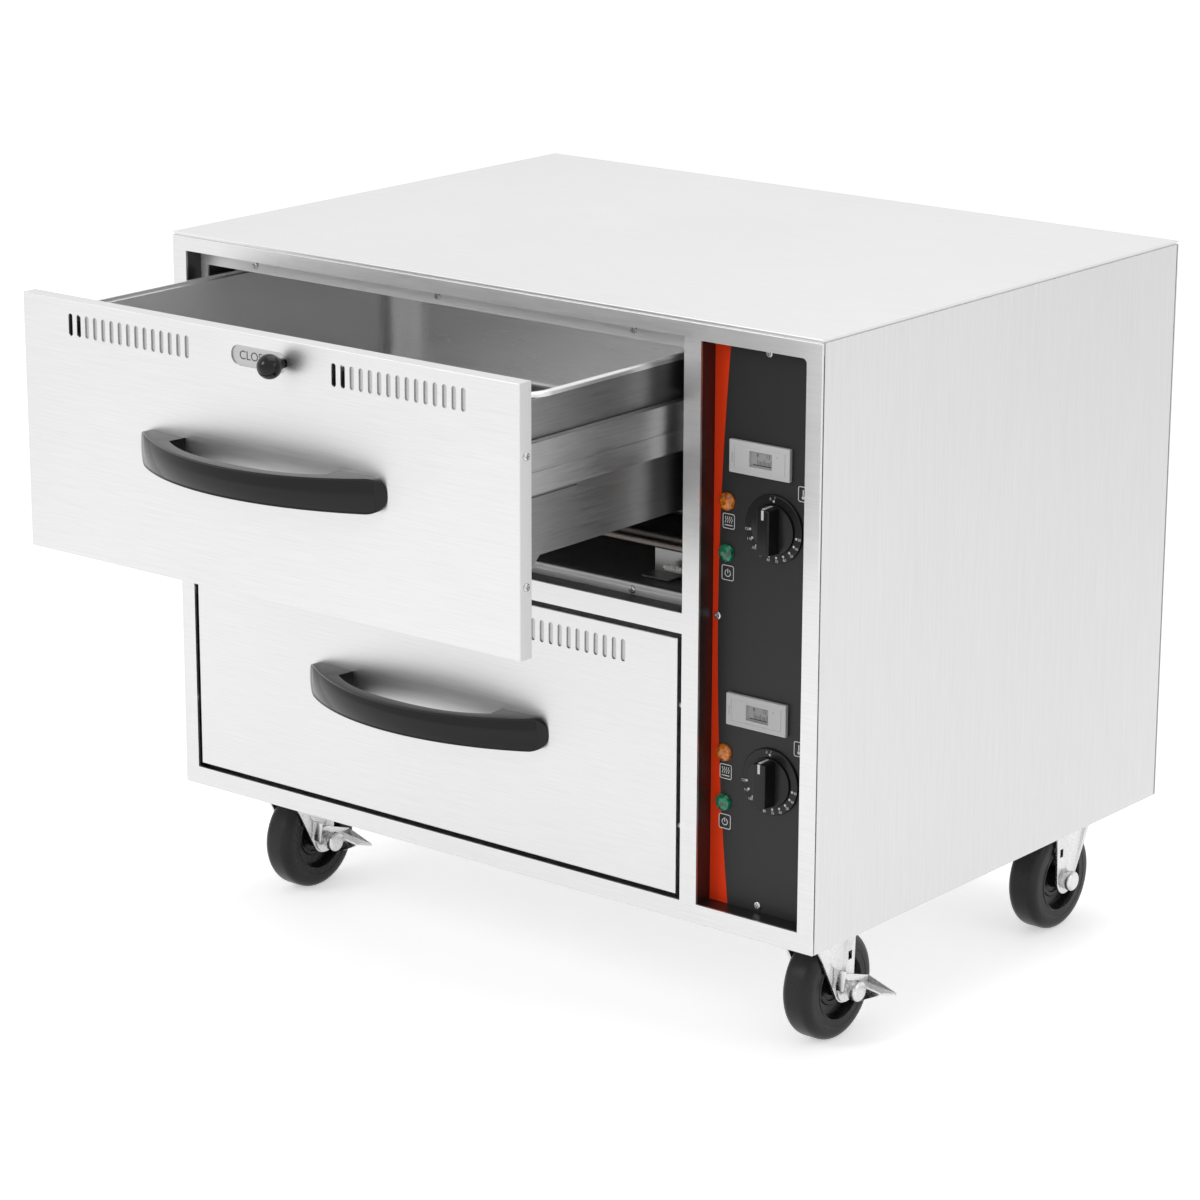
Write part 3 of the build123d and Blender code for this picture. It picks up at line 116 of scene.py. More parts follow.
def smoothFaces(piece, angle=35):
    pickUp(piece)
    bpy.ops.object.shade_smooth_by_angle(angle=math.radians(angle))


def addBox(name, centre, size):
    clearSelection()
    bpy.ops.mesh.primitive_cube_add(size=1, location=centre)
    box = bpy.context.object
    box.name = name
    box.scale = size
    settle(box)
    return box


turnedTo = {"X": (0, math.radians(90), 0), "Y": (math.radians(90), 0, 0), "Z": (0, 0, 0)}


def addRod(name, centre, radius, length, axis, sides=48):
    clearSelection()
    bpy.ops.mesh.primitive_cylinder_add(vertices=sides, radius=radius, depth=length, location=centre,
                                        rotation=turnedTo[axis])
    rod = bpy.context.object
    rod.name = name
    settle(rod)
    return rod


def joinPieces(name, pieces):
    clearSelection()
    for piece in pieces:
        piece.select_set(True)
    bpy.context.view_layer.objects.active = pieces[0]
    if len(pieces) > 1:
        bpy.ops.object.join()
    whole = bpy.context.object
    whole.name = name
    return whole


def cutAway(piece, cutter):
    useModifier(piece, "BOOLEAN", operation="DIFFERENCE", object=cutter, solver="EXACT")
    bpy.data.objects.remove(cutter)


def cloneOf(piece, name, move, turn=0):
    pickUp(piece)
    twin = piece.copy()
    twin.data = piece.data.copy()
    twin.name = name
    bpy.context.scene.collection.objects.link(twin)
    twin.location = move
    twin.rotation_euler = (0, 0, math.radians(turn))
    settle(twin)
    return twin


def discard(piece):
    bpy.data.objects.remove(piece)


def roundCorners(piece, radius, along=1):  # edges that run along one axis
    startShaping(piece)
    pickEdges(piece, lambda a, b: abs((a - b)[along]) > 0.9 * (a - b).length)
    bpy.ops.mesh.bevel(offset=radius, segments=5, affect="EDGES")
    stopShaping()


def addOutline(name, centre, width, height, line, corner, depth=0.1 * mm):  # a printed line round a panel
    clearSelection()
    bpy.ops.mesh.primitive_plane_add(size=1, location=centre, rotation=turnedTo["Y"])
    outline = bpy.context.object
    outline.name = name
    outline.scale = (width, height, 1)
    settle(outline)
    startShaping(outline)
    bpy.ops.mesh.select_all(action="SELECT")
    bpy.ops.mesh.bevel(offset=corner, segments=5, affect="VERTICES")
    bpy.ops.mesh.select_all(action="SELECT")
    bpy.ops.mesh.inset(thickness=line, depth=0)
    bpy.ops.mesh.delete(type="FACE")
    stopShaping()
    useModifier(outline, "SOLIDIFY", thickness=depth, offset=-1)
    return outline


def addRibbon(name, y, low, high, rows, sidesAt, depth=0.1 * mm):  # sidesAt(z) gives its left and right x
    clearSelection()
    bpy.ops.mesh.primitive_grid_add(x_subdivisions=1, y_subdivisions=rows, size=1)
    ribbon = bpy.context.object
    ribbon.name = name
    for point in ribbon.data.vertices:
        z = low + (point.co.y + 0.5) * (high - low)
        left, right = sidesAt(z)
        point.co = (left if point.co.x < 0 else right, y, z)
    useModifier(ribbon, "SOLIDIFY", thickness=depth, offset=-1)
    return ribbon


def copyNode(nodeName, name, flatAngle=0.5):  # the CAD solid's own shape, with its loose triangles sewn together
    source = nodes[nodeName]
    clearSelection()
    piece = source.copy()
    piece.data = source.data.copy()
    piece.parent = None
    for key in list(piece.keys()):
        if key.startswith("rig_"):
            del piece[key]
    piece.name = name
    bpy.context.scene.collection.objects.link(piece)
    startShaping(piece)
    bpy.ops.mesh.select_all(action="SELECT")
    bpy.ops.mesh.remove_doubles(threshold=2e-6)
    bpy.ops.mesh.dissolve_limited(angle_limit=math.radians(flatAngle))
    bpy.ops.mesh.normals_make_consistent(inside=False)
    stopShaping()
    return piece


def addWriting(name, words, centre, height, depth=0.05 * mm):
    clearSelection()
    bpy.ops.object.text_add(location=centre, rotation=turnedTo["Y"])
    writing = bpy.context.object
    writing.data.body = words
    writing.data.size = height * 1.38
    writing.data.align_x = "CENTER"
    writing.data.align_y = "CENTER"
    writing.data.extrude = depth
    writing.name = name
    bpy.ops.object.convert(target="MESH")
    settle(bpy.context.object)
    return bpy.context.object


def dress(piece, body, slot, finish, *replaced):
    piece.data.materials.clear()
    piece.data.materials.append(finish)
    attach(piece, body)
    if replaced:
        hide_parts(*replaced)
    return piece


def makeGrainGroup():
    group = bpy.data.node_groups.new("surfaceGrain", "ShaderNodeTree")
    face = group.interface
    face.new_socket("Place", in_out="INPUT", socket_type="NodeSocketVector")
    face.new_socket("Stretch", in_out="INPUT", socket_type="NodeSocketVector")
    for label, value in (("Grain Size", 400.0), ("Patch Size", 4.0), ("Rough Low", 0.3), ("Rough High", 0.45)):
        face.new_socket(label, in_out="INPUT", socket_type="NodeSocketFloat").default_value = value
    for label in ("Tone A", "Tone B"):
        face.new_socket(label, in_out="INPUT", socket_type="NodeSocketColor")
    face.new_socket("Color", in_out="OUTPUT", socket_type="NodeSocketColor")
    face.new_socket("Roughness", in_out="OUTPUT", socket_type="NodeSocketFloat")
    face.new_socket("Height", in_out="OUTPUT", socket_type="NodeSocketFloat")
    made, wire = group.nodes, group.links
    start, end = made.new("NodeGroupInput"), made.new("NodeGroupOutput")
    drawn = made.new("ShaderNodeVectorMath")
    drawn.operation = "MULTIPLY"
    wire.new(start.outputs["Place"], drawn.inputs[0])
    wire.new(start.outputs["Stretch"], drawn.inputs[1])
    grain = made.new("ShaderNodeTexNoise")
    grain.inputs["Detail"].default_value = 5.0
    grain.inputs["Roughness"].default_value = 0.62
    wire.new(drawn.outputs[0], grain.inputs["Vector"])
    wire.new(start.outputs["Grain Size"], grain.inputs["Scale"])
    patch = made.new("ShaderNodeTexNoise")
    patch.inputs["Detail"].default_value = 3.0
    wire.new(start.outputs["Place"], patch.inputs["Vector"])
    wire.new(start.outputs["Patch Size"], patch.inputs["Scale"])
    both = made.new("ShaderNodeMath")
    both.operation = "MULTIPLY_ADD"
    both.inputs[1].default_value = 0.65
    wire.new(grain.outputs["Fac"], both.inputs[0])
    share = made.new("ShaderNodeMath")
    share.operation = "MULTIPLY"
    share.inputs[1].default_value = 0.35
    wire.new(patch.outputs["Fac"], share.inputs[0])
    wire.new(share.outputs[0], both.inputs[2])
    spread = made.new("ShaderNodeMapRange")
    spread.inputs["From Min"].default_value = 0.32
    spread.inputs["From Max"].default_value = 0.68
    wire.new(both.outputs[0], spread.inputs["Value"])
    tone = made.new("ShaderNodeMix")
    tone.data_type = "RGBA"
    wire.new(spread.outputs["Result"], tone.inputs["Factor"])
    wire.new(start.outputs["Tone A"], tone.inputs["A"])
    wire.new(start.outputs["Tone B"], tone.inputs["B"])
    rough = made.new("ShaderNodeMapRange")
    wire.new(both.outputs[0], rough.inputs["Value"])
    rough.inputs["From Min"].default_value = 0.3
    rough.inputs["From Max"].default_value = 0.7
    wire.new(start.outputs["Rough Low"], rough.inputs["To Min"])
    wire.new(start.outputs["Rough High"], rough.inputs["To Max"])
    wire.new(tone.outputs["Result"], end.inputs["Color"])
    wire.new(rough.outputs["Result"], end.inputs["Roughness"])
    wire.new(grain.outputs["Fac"], end.inputs["Height"])
    return group


# Mask for the painted shade inside openings.
def makeShadeDepthGroup():  # 0 in front of a plane across Y, 1 behind it
    group = bpy.data.node_groups.new("paintedShadeDepthMask", "ShaderNodeTree")
    group.interface.new_socket("Place", in_out="INPUT", socket_type="NodeSocketVector")
    group.interface.new_socket("Start", in_out="INPUT", socket_type="NodeSocketFloat")
    group.interface.new_socket("End", in_out="INPUT", socket_type="NodeSocketFloat")
    group.interface.new_socket("Mask", in_out="OUTPUT", socket_type="NodeSocketFloat")
    made, wire = group.nodes, group.links
    start, end = made.new("NodeGroupInput"), made.new("NodeGroupOutput")
    split = made.new("ShaderNodeSeparateXYZ")
    wire.new(start.outputs["Place"], split.inputs[0])
    spread = made.new("ShaderNodeMapRange")
    wire.new(split.outputs["Y"], spread.inputs["Value"])
    wire.new(start.outputs["Start"], spread.inputs["From Min"])
    wire.new(start.outputs["End"], spread.inputs["From Max"])
    wire.new(spread.outputs["Result"], end.inputs["Mask"])
    return group


grainGroup = makeGrainGroup()
shadeDepthGroup = makeShadeDepthGroup()


def makeFinish(name, toneA, toneB, rough, stretch=(1, 1, 1), grainSize=400, patchSize=4.0, bump=0.1,
               bumpDepth=0.00005, behind=None, **fixed):
    finish = bpy.data.materials.new(name)
    finish.use_nodes = True
    made, wire = finish.node_tree.nodes, finish.node_tree.links
    shader = made["Principled BSDF"]
    for key, value in fixed.items():
        shader.inputs[key.replace("_", " ")].default_value = value
    place = made.new("ShaderNodeTexCoord")
    grain = made.new("ShaderNodeGroup")
    grain.node_tree = grainGroup
    grain.inputs["Stretch"].default_value = stretch
    grain.inputs["Grain Size"].default_value = grainSize
    grain.inputs["Patch Size"].default_value = patchSize
    grain.inputs["Rough Low"].default_value = rough[0]
    grain.inputs["Rough High"].default_value = rough[1]
    grain.inputs["Tone A"].default_value = (*toneA, 1)
    grain.inputs["Tone B"].default_value = (*toneB, 1)
    wire.new(place.outputs["Object"], grain.inputs["Place"])
    colour = grain.outputs["Color"]
    if behind:  # painted shade: a second, darker tone that starts behind a plane
        shadeMask, shadeBlend = made.new("ShaderNodeGroup"), made.new("ShaderNodeMix")
        shadeMask.node_tree = shadeDepthGroup
        shadeMask.inputs["Start"].default_value, shadeMask.inputs["End"].default_value = behind["start"], behind["end"]
        wire.new(place.outputs["Object"], shadeMask.inputs["Place"])
        shadeBlend.data_type = "RGBA"
        shadeBlend.inputs["B"].default_value = (*behind["tone"], 1)
        wire.new(shadeMask.outputs["Mask"], shadeBlend.inputs["Factor"])
        wire.new(colour, shadeBlend.inputs["A"])
        colour = shadeBlend.outputs["Result"]
    wire.new(colour, shader.inputs["Base Color"])
    wire.new(grain.outputs["Roughness"], shader.inputs["Roughness"])
    dent = made.new("ShaderNodeBump")
    dent.inputs["Strength"].default_value = bump
    dent.inputs["Distance"].default_value = bumpDepth
    wire.new(grain.outputs["Height"], dent.inputs["Height"])
    wire.new(dent.outputs["Normal"], shader.inputs["Normal"])
    return finish


def grey(value, warmth=0.0):
    return (value + warmth, value, value - warmth)


brushed = {"bump": 0.22, "bumpDepth": 0.00004, "Metallic": 1.0}
# painted shade: the front frame's returned flanges, deeper than its face, are toned near black
frameReturnPaintedShade = {"start": (revealY - 18.2) * mm, "end": (revealY - 17.2) * mm, "tone": grey(0.1)}
# painted shade: the liners are toned near black deeper than their front lip
linerInsidePaintedShade = {"start": (revealY + 1.4) * mm, "end": (revealY + 2.4) * mm, "tone": grey(0.06)}
finishes = {
    "steelFront": makeFinish("steelFront", grey(0.66), grey(0.75), (0.34, 0.46), (0.02, 1, 1), 900, 2.5, **brushed),
    "steelFrame": makeFinish("steelFrame", grey(0.66), grey(0.75), (0.34, 0.46), (0.02, 1, 1), 900, 2.5,
                             behind=frameReturnPaintedShade, **brushed),
    # The side and base steel is toned darker than the front steel as painted shade, and the top steel lighter as
    # painted light.
    "steelSidePaintedShade": makeFinish("steelSidePaintedShade", grey(0.62), grey(0.7), (0.38, 0.46), (1, 1, 0.02), 900, 2.0, **brushed),
    "steelTopPaintedLight": makeFinish("steelTopPaintedLight", grey(0.7), grey(0.78), (0.36, 0.44), (0.02, 1, 1), 900, 1.5, **brushed),
    "liner": makeFinish("liner", grey(0.76), grey(0.84), (0.34, 0.44), (0.04, 1, 1), 600, 6.0,
                        behind=linerInsidePaintedShade, bump=0.2, bumpDepth=0.00004, Metallic=0.35, Specular_IOR_Level=0.6),
    "pan": makeFinish("pan", grey(0.74), grey(0.82), (0.26, 0.34), (0.03, 1, 1), 700, 5.0, bump=0.12, bumpDepth=0.00003,
                      Metallic=0.75),
    # The drawer frames are toned dark as painted shade under the pans; the rails' darker tone is partly their own and
    # partly painted shade.
    "frame": makeFinish("frame", grey(0.28), grey(0.36), (0.34, 0.46), (1, 0.03, 1), 800, 3.0, **brushed),
    "rail": makeFinish("rail", grey(0.38), grey(0.5), (0.3, 0.42), (1, 0.05, 1), 500, 8.0, **brushed),
    "ball": makeFinish("ball", grey(0.75), grey(0.85), (0.1, 0.18), grainSize=200, Metallic=1.0),
    "screw": makeFinish("screw", grey(0.5), grey(0.64), (0.18, 0.3), grainSize=900, Metallic=1.0),
    "zinc": makeFinish("zinc", grey(0.62), grey(0.76), (0.2, 0.34), grainSize=260, patchSize=30, bump=0.3,
                       bumpDepth=0.00008, Metallic=1.0),
    "heater": makeFinish("heater", (0.16, 0.14, 0.13), (0.28, 0.25, 0.23), (0.42, 0.58), grainSize=300, Metallic=1.0),
    "ceramic": makeFinish("ceramic", (0.7, 0.69, 0.66), (0.8, 0.79, 0.76), (0.25, 0.4), grainSize=600, patchSize=60),
    "insulation": makeFinish("insulation", (0.62, 0.58, 0.44), (0.8, 0.76, 0.62), (0.85, 0.95), grainSize=120,
                             bump=0.8, bumpDepth=0.002),
    "backing": makeFinish("backing", grey(0.02), grey(0.035), (0.5, 0.65), grainSize=500),
    "fascia": makeFinish("fascia", grey(0.016), grey(0.024), (0.42, 0.55), grainSize=1400, patchSize=9, bump=0.3,
                         bumpDepth=0.00004, Specular_IOR_Level=0.35),
    "stripe": makeFinish("stripe", (0.86, 0.042, 0.005), (0.93, 0.055, 0.008), (0.4, 0.5), grainSize=900,
                         Specular_IOR_Level=0.15),
    "print": makeFinish("print", grey(0.72), grey(0.82), (0.5, 0.6), grainSize=1500),
    "printDark": makeFinish("printDark", grey(0.03), grey(0.06), (0.5, 0.6), grainSize=1500),
    "printGrey": makeFinish("printGrey", grey(0.3), grey(0.36), (0.5, 0.6), grainSize=1500),
    "bezel": makeFinish("bezel", grey(0.64), grey(0.7), (0.42, 0.52), grainSize=1200, patchSize=20),
    "scaleCard": makeFinish("scaleCard", grey(0.36), grey(0.42), (0.5, 0.6), grainSize=1200),
    "blackGloss": makeFinish("blackGloss", grey(0.004), grey(0.007), (0.08, 0.14), grainSize=900, patchSize=12,
                             bump=0.02, Specular_IOR_Level=0.3),
    "blackMatte": makeFinish("blackMatte", grey(0.006), grey(0.012), (0.26, 0.36), grainSize=1600, bump=0.25,
                             Specular_IOR_Level=0.3),
    "tyre": makeFinish("tyre", grey(0.012), grey(0.024), (0.26, 0.38), grainSize=500, patchSize=25, bump=0.2,
                       bumpDepth=0.0001, Specular_IOR_Level=0.25),
    "wheelRim": makeFinish("wheelRim", grey(0.008), grey(0.014), (0.16, 0.26), grainSize=700, patchSize=20,
                           bump=0.05, Specular_IOR_Level=0.25),
    # Lens finishes: the lens colour, spread from dark to bright in small patches as painted glints on the facets.
    "amber": makeFinish("amber", (0.3, 0.035, 0.0), (1.0, 0.3, 0.01), (0.05, 0.12), grainSize=260, patchSize=260,
                        IOR=1.49, Coat_Weight=0.4),
    "green": makeFinish("green", (0.0, 0.04, 0.02), (0.0, 0.34, 0.16), (0.05, 0.12), grainSize=260, patchSize=260,
                        IOR=1.49, Coat_Weight=0.4),
    # The shutter steel is toned darker than the front steel, partly its own tone and partly painted shade for the
    # narrow slots it shows through.
    "shutter": makeFinish("shutter", grey(0.42), grey(0.52), (0.3, 0.4), (0.03, 1, 1), 800, 4.0, **brushed),
}
print("finishes made")

# CAD nodes that keep their own shape
keptNodes = {
    # top, side and base panels take the steel tones with painted light and painted shade
    "steelTopPaintedLight": ["top_panel"],
    "steelSidePaintedShade": ["left_side_panel", "right_side_panel", "base_panel"],
    "steelFrame": ["front_frame"],
    "steelFront": ["back_panel", "upper_drawer_front", "lower_drawer_front"],
    "liner": ["upper_liner", "lower_liner"],
    "frame": ["upper_drawer_frame", "lower_drawer_frame"],
    "rail": ["cabinet_rails", "upper_drawer_rails", "lower_drawer_rails", "upper_middle_rails",
             "lower_middle_rails"],
    "ball": ["upper_ball_cages", "lower_ball_cages"],
    "heater": ["heating_elements"],
    "insulation": ["insulation"],
    "backing": ["upper_front_backing", "lower_front_backing"],
    "fascia": ["control_fascia"],
    "shutter": ["upper_vent_shutter", "lower_vent_shutter"],
    "zinc": ["caster_plates", "plate_bolts"],
    "blackMatte": ["thermostats", "cable_gland", "dial_rings"],
    "scaleCard": ["thermometer_scales"],
}
for finishName, members in keptNodes.items():
    for member in members:
        nodes[member].data.materials.clear()
        nodes[member].data.materials.append(finishes[finishName])
print("kept nodes finished")

# Screws: one pan head with a cross recess, copied to every place
screwShape = {"headRadius": 3.6, "headHeight": 1.7, "dome": 1.1, "shankRadius": 1.8, "shankLength": 6.0,
              "crossLength": 4.6, "crossWidth": 1.2, "crossDepth": 1.3}
screwLayout = {"spacing": 224, "topRise": 236.7, "sillRise": 4.6, "sideShift": 289.55, "sideSetback": 8,
               "sideDrops": (62.0, 172.6), "handleShift": 123.5, "handleDrop": 118}


def makeScrew():
    size = screwShape
    head = addRod("screwHead", at(0, -size["headHeight"] / 2, 0), size["headRadius"] * mm,
                  size["headHeight"] * mm, "Y", 32)
    startShaping(head)
    pickEdges(head, lambda a, b: a.y < -1.6 * mm and b.y < -1.6 * mm)
    bpy.ops.mesh.bevel(offset=size["dome"] * mm, segments=4, affect="EDGES")
    stopShaping()
    mid = -size["headHeight"]
    upright = addBox("crossA", at(0, mid, 0), Vector((size["crossWidth"], 2 * size["crossDepth"],
                                                      size["crossLength"])) * mm)
    across = addBox("crossB", at(0, mid, 0), Vector((size["crossLength"], 2 * size["crossDepth"],
                                                     size["crossWidth"])) * mm)
    cutAway(head, upright)
    cutAway(head, across)
    shank = addRod("screwShank", at(0, size["shankLength"] / 2, 0), size["shankRadius"] * mm,
                   size["shankLength"] * mm, "Y", 16)
    return joinPieces("screw", [head, shank])


screw = makeScrew()
screwPlaces = []
for level in ("upper", "lower"):
    for step in (-1, 0, 1):
        screwPlaces.append((bayX + screwLayout["spacing"] * step, bayZ[level] + screwLayout["topRise"]))
    for step in (-1, 1):
        screwPlaces.append((bayX + screwLayout["spacing"] * step, bayZ[level] + screwLayout["sillRise"]))
screwPlaces += [(306.1, 639.3), (254.7, 401.0), (352.7, 401.0), (301.7, 146.0)]
heads = [cloneOf(screw, f"head{n}", at(x, revealY, z)) for n, (x, z) in enumerate(screwPlaces)]
panelScrews = joinPieces("panelScrewSet", heads)
smoothFaces(panelScrews, 35)
dress(panelScrews, "cabinet", "screw", finishes["screw"], "panel_screws")

for level in ("upper", "lower"):
    heads = []
    for side, turn in ((-1, -90), (1, 90)):
        for drop in screwLayout["sideDrops"]:
            place = at(bayX + side * screwLayout["sideShift"], skinY[level] + screwLayout["sideSetback"],
                       panelTop[level] - drop)
            heads.append(cloneOf(screw, "sideHead", place, turn))
        # machine screw that holds the handle from inside
        handleX = bayX + side * screwLayout["handleShift"]
        handleZ = panelTop[level] - screwLayout["handleDrop"]
        cap = addRod("handleHead", at(handleX, skinY[level] + 17.7, handleZ), 5 * mm, 2.4 * mm, "Y", 32)
        roundEdges(cap, 0.8 * mm, 3, 50)
        cutAway(cap, addRod("socket", at(handleX, skinY[level] + 19.2, handleZ), 1.8 * mm, 3 * mm, "Y", 6))
        stem = addRod("handleStem", at(handleX, skinY[level] + 3.25, handleZ), 2.5 * mm, 26.5 * mm, "Y", 24)
        heads += [cap, stem]
    drawerScrews = joinPieces(f"{level}ScrewSet", heads)
    smoothFaces(drawerScrews, 35)
    dress(drawerScrews, f"{level}_drawer", "screw", finishes["screw"], f"{level}_drawer_screws")
discard(screw)
print("screws done")

# Pans, sewn and smoothed
for level in ("upper", "lower"):
    pan = copyNode(f"{level}_pan", f"{level}PanSkin", 0.1)
    smoothFaces(pan, 30)
    dress(pan, f"{level}_drawer", "pan", finishes["pan"], f"{level}_pan")

# Handles: round edges, and a moulding line inside the outline of the grip
handleShape = {"edge": 5.5 * mm, "edgeSteps": 6, "lineInset": 1.2 * mm, "lineWidth": 0.5 * mm, "lineDepth": 0.45 * mm}

for level in ("upper", "lower"):
    handle = copyNode(f"{level}_handle", f"{level}HandleSkin", 0.2)
    roundEdges(handle, handleShape["edge"], handleShape["edgeSteps"], 50)
    startShaping(handle)
    pickFaces(handle, lambda middle, normal: normal.y < -0.4 and abs(normal.z) < 0.02
              and middle.y < skinY[level] * mm - 6 * mm)
    bpy.ops.mesh.inset(thickness=handleShape["lineInset"], depth=0)
    bpy.ops.mesh.inset(thickness=handleShape["lineWidth"], depth=-handleShape["lineDepth"])
    bpy.ops.mesh.inset(thickness=handleShape["lineWidth"], depth=handleShape["lineDepth"])
    stopShaping()
    smoothFaces(handle, 40)
    dress(handle, f"{level}_drawer", "black_gloss", finishes["blackGloss"], f"{level}_handle")
print("handles and pans done")

# Vents: ball knob, and the words on the shutter that the window shows
ventShape = {"ballRadius": 11 * mm, "neckRadius": 4.5 * mm, "collarRadius": 6.2 * mm, "collarDepth": 3 * mm,
             "letterHeight": 8.0 * mm, "closeX": -8.0, "openX": 54.0, "windowDrop": 20.5, "shutterDepth": 1.4}

for level in ("upper", "lower"):
    low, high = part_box(f"{level}_vent_knob")
    ballX, ballZ = (low.x + high.x) / 2, (low.z + high.z) / 2
    ballY = low.y + ventShape["ballRadius"]
    clearSelection()
    bpy.ops.mesh.primitive_uv_sphere_add(segments=48, ring_count=24, radius=ventShape["ballRadius"],
                                         location=(ballX, ballY, ballZ), rotation=turnedTo["Y"])
    ball = bpy.context.object
    settle(ball)
    neck = addRod("neck", (ballX, (ballY + high.y) / 2, ballZ), ventShape["neckRadius"], high.y - ballY, "Y", 32)
    collarY = ballY + ventShape["ballRadius"] * 0.9
    collar = addRod("collar", (ballX, collarY, ballZ), ventShape["collarRadius"], ventShape["collarDepth"], "Y", 32)
    roundEdges(collar, 0.6 * mm, 2)
    knob = joinPieces(f"{level}VentKnob", [ball, neck, collar])
    smoothFaces(knob, 40)
    dress(knob, f"{level}_shutter", "black_gloss", finishes["blackGloss"], f"{level}_vent_knob")
    wordY = skinY[level] + ventShape["shutterDepth"]
    wordZ = panelTop[level] - ventShape["windowDrop"]
    words = [addWriting(f"{level}{label}", label.upper(), at(bayX + x, wordY, wordZ), ventShape["letterHeight"])
             for label, x in (("Close", ventShape["closeX"]), ("Open", ventShape["openX"]))]
    dress(joinPieces(f"{level}VentWords", words), f"{level}_shutter", "shutter", finishes["printDark"])
print("vents done")

# Control panel prints: a waisted stripe, and a framed sign under each lamp
stripeShape = {"left": 248.9, "waist": 5.7, "waistZ": 395.0, "upperBow": 1.75e-4, "lowerBow": 2.16e-4,
               "low": 140.2, "high": 644.2, "rows": 60}
printY = revealY - 0.06


def stripeSides(z):
    away = z / mm - stripeShape["waistZ"]
    bow = stripeShape["upperBow"] if away > 0 else stripeShape["lowerBow"]
    return stripeShape["left"] * mm, (stripeShape["left"] + stripeShape["waist"] + bow * away * away) * mm


stripe = addRibbon("orangeStripe", printY * mm, stripeShape["low"] * mm, stripeShape["high"] * mm,
                   stripeShape["rows"], stripeSides, 0.05 * mm)
dress(stripe, "cabinet", "fascia", finishes["stripe"])

signShape = {"width": 13.0, "height": 13.6, "corner": 2.0, "line": 0.75,
             "heatX": 265.0, "heatRise": -1.3, "powerX": 264.6, "powerRise": -47.2,
             "degreeX": 344.2, "degreeRise": 35.0}


def addSignFrame(name, x, z):
    size = signShape
    plate = addBox(name + "Plate", at(x, printY, z), Vector((size["width"], 0.08, size["height"])) * mm)
    roundCorners(plate, size["corner"] * mm)
    dress(plate, "cabinet", "fascia", finishes["fascia"])
    return addOutline(name, at(x, printY - 0.06, z), size["width"] * mm, size["height"] * mm, size["line"] * mm,
                      size["corner"] * mm)


def addHeatSign(name, x, z):  # four wavy lines over a bar
    marks = [addSignFrame(name, x, z)]
    for n in range(4):
        middle = (x - 3.3 + 2.2 * n) * mm

        def wave(height, middle=middle):
            sway = 0.45 * mm * math.sin((height - z * mm) / mm * 1.5)
            return middle + sway - 0.35 * mm, middle + sway + 0.35 * mm
        marks.append(addRibbon(f"wave{n}", (printY - 0.06) * mm, (z - 1.6) * mm, (z + 4.2) * mm, 14, wave))
    marks.append(addBox("bar", at(x, printY - 0.06, z - 3.6), Vector((8.4, 0.1, 0.9)) * mm))
    return dress(joinPieces(name, marks), "cabinet", "fascia", finishes["print"])


def addPowerSign(name, x, z):  # a ring that a short bar breaks at the top
    clearSelection()
    bpy.ops.mesh.primitive_torus_add(major_radius=2.9 * mm, minor_radius=0.4 * mm, major_segments=40,
                                     minor_segments=8, location=at(x, printY - 0.06, z - 0.3),
                                     rotation=turnedTo["Y"])
    ring = bpy.context.object
    ring.scale = (1, 1, 0.15)
    settle(ring)
    cutAway(ring, addBox("gap", at(x, printY - 0.06, z + 2.6), Vector((2.4, 1, 2.4)) * mm))
    bar = addBox("bar", at(x, printY - 0.06, z + 1.6), Vector((0.8, 0.1, 4.0)) * mm)
    whole = joinPieces(name, [addSignFrame(name, x, z), ring, bar])
    return dress(whole, "cabinet", "fascia", finishes["print"])


def addDegreeSign(name, x, z):  # a small thermometer
    stem = addBox("stem", at(x - 1.2, printY - 0.06, z + 0.9), Vector((1.1, 0.1, 6.0)) * mm)
    bulb = addRod("bulb", at(x - 1.2, printY - 0.06, z - 3.0), 1.5 * mm, 0.1 * mm, "Y", 24)
    steps = [addBox("mark", at(x + 1.6, printY - 0.06, z + rise), Vector((2.2, 0.1, 0.5)) * mm)
             for rise in (3.2, 1.4, -0.4)]
    whole = joinPieces(name, [addSignFrame(name, x, z), stem, bulb] + steps)
    return dress(whole, "cabinet", "fascia", finishes["print"])


for level in ("upper", "lower"):
    addHeatSign(f"{level}HeatSign", signShape["heatX"], knobZ[level] + signShape["heatRise"])
    addPowerSign(f"{level}PowerSign", signShape["powerX"], knobZ[level] + signShape["powerRise"])
    addDegreeSign(f"{level}DegreeSign", signShape["degreeX"], knobZ[level] + signShape["degreeRise"])
print("panel prints done")

# Pilot lamps: faceted lens on a round body
lampShape = {"radius": 8.0, "sides": 14, "flange": 1.6, "steps": [(0.9, 1.5), (2.3, 1.5), (2.2, 0.8)],
             "bodyRadius": 5.5, "bodyLength": 22.0, "x": 263.4, "heatingRise": 16.0, "powerRise": -29.6}


def makeLamp(name, z):
    lens = addRod(name, at(lampShape["x"], revealY - lampShape["flange"] / 2, z), lampShape["radius"] * mm,
                  lampShape["flange"] * mm, "Y", lampShape["sides"])
    startShaping(lens)
    pickFaces(lens, lambda middle, normal: normal.y < -0.9)
    for thickness, rise in lampShape["steps"]:
        bpy.ops.mesh.inset(thickness=thickness * mm, depth=rise * mm)
    stopShaping()
    body = addRod("lampBody", at(lampShape["x"], revealY + lampShape["bodyLength"] / 2, z),
                  lampShape["bodyRadius"] * mm, lampShape["bodyLength"] * mm, "Y", 32)
    return [lens, body]


# the lenses take the lens finishes with painted glints
for nodeName, rise, finishName in (("heating_lamps", lampShape["heatingRise"], "amber"),
                                   ("power_lamps", lampShape["powerRise"], "green")):
    parts = makeLamp("lensA", knobZ["upper"] + rise) + makeLamp("lensB", knobZ["lower"] + rise)
    lampSet = joinPieces(f"{finishName}Lamps", parts)
    dress(lampSet, "cabinet", finishName, finishes[finishName], nodeName)

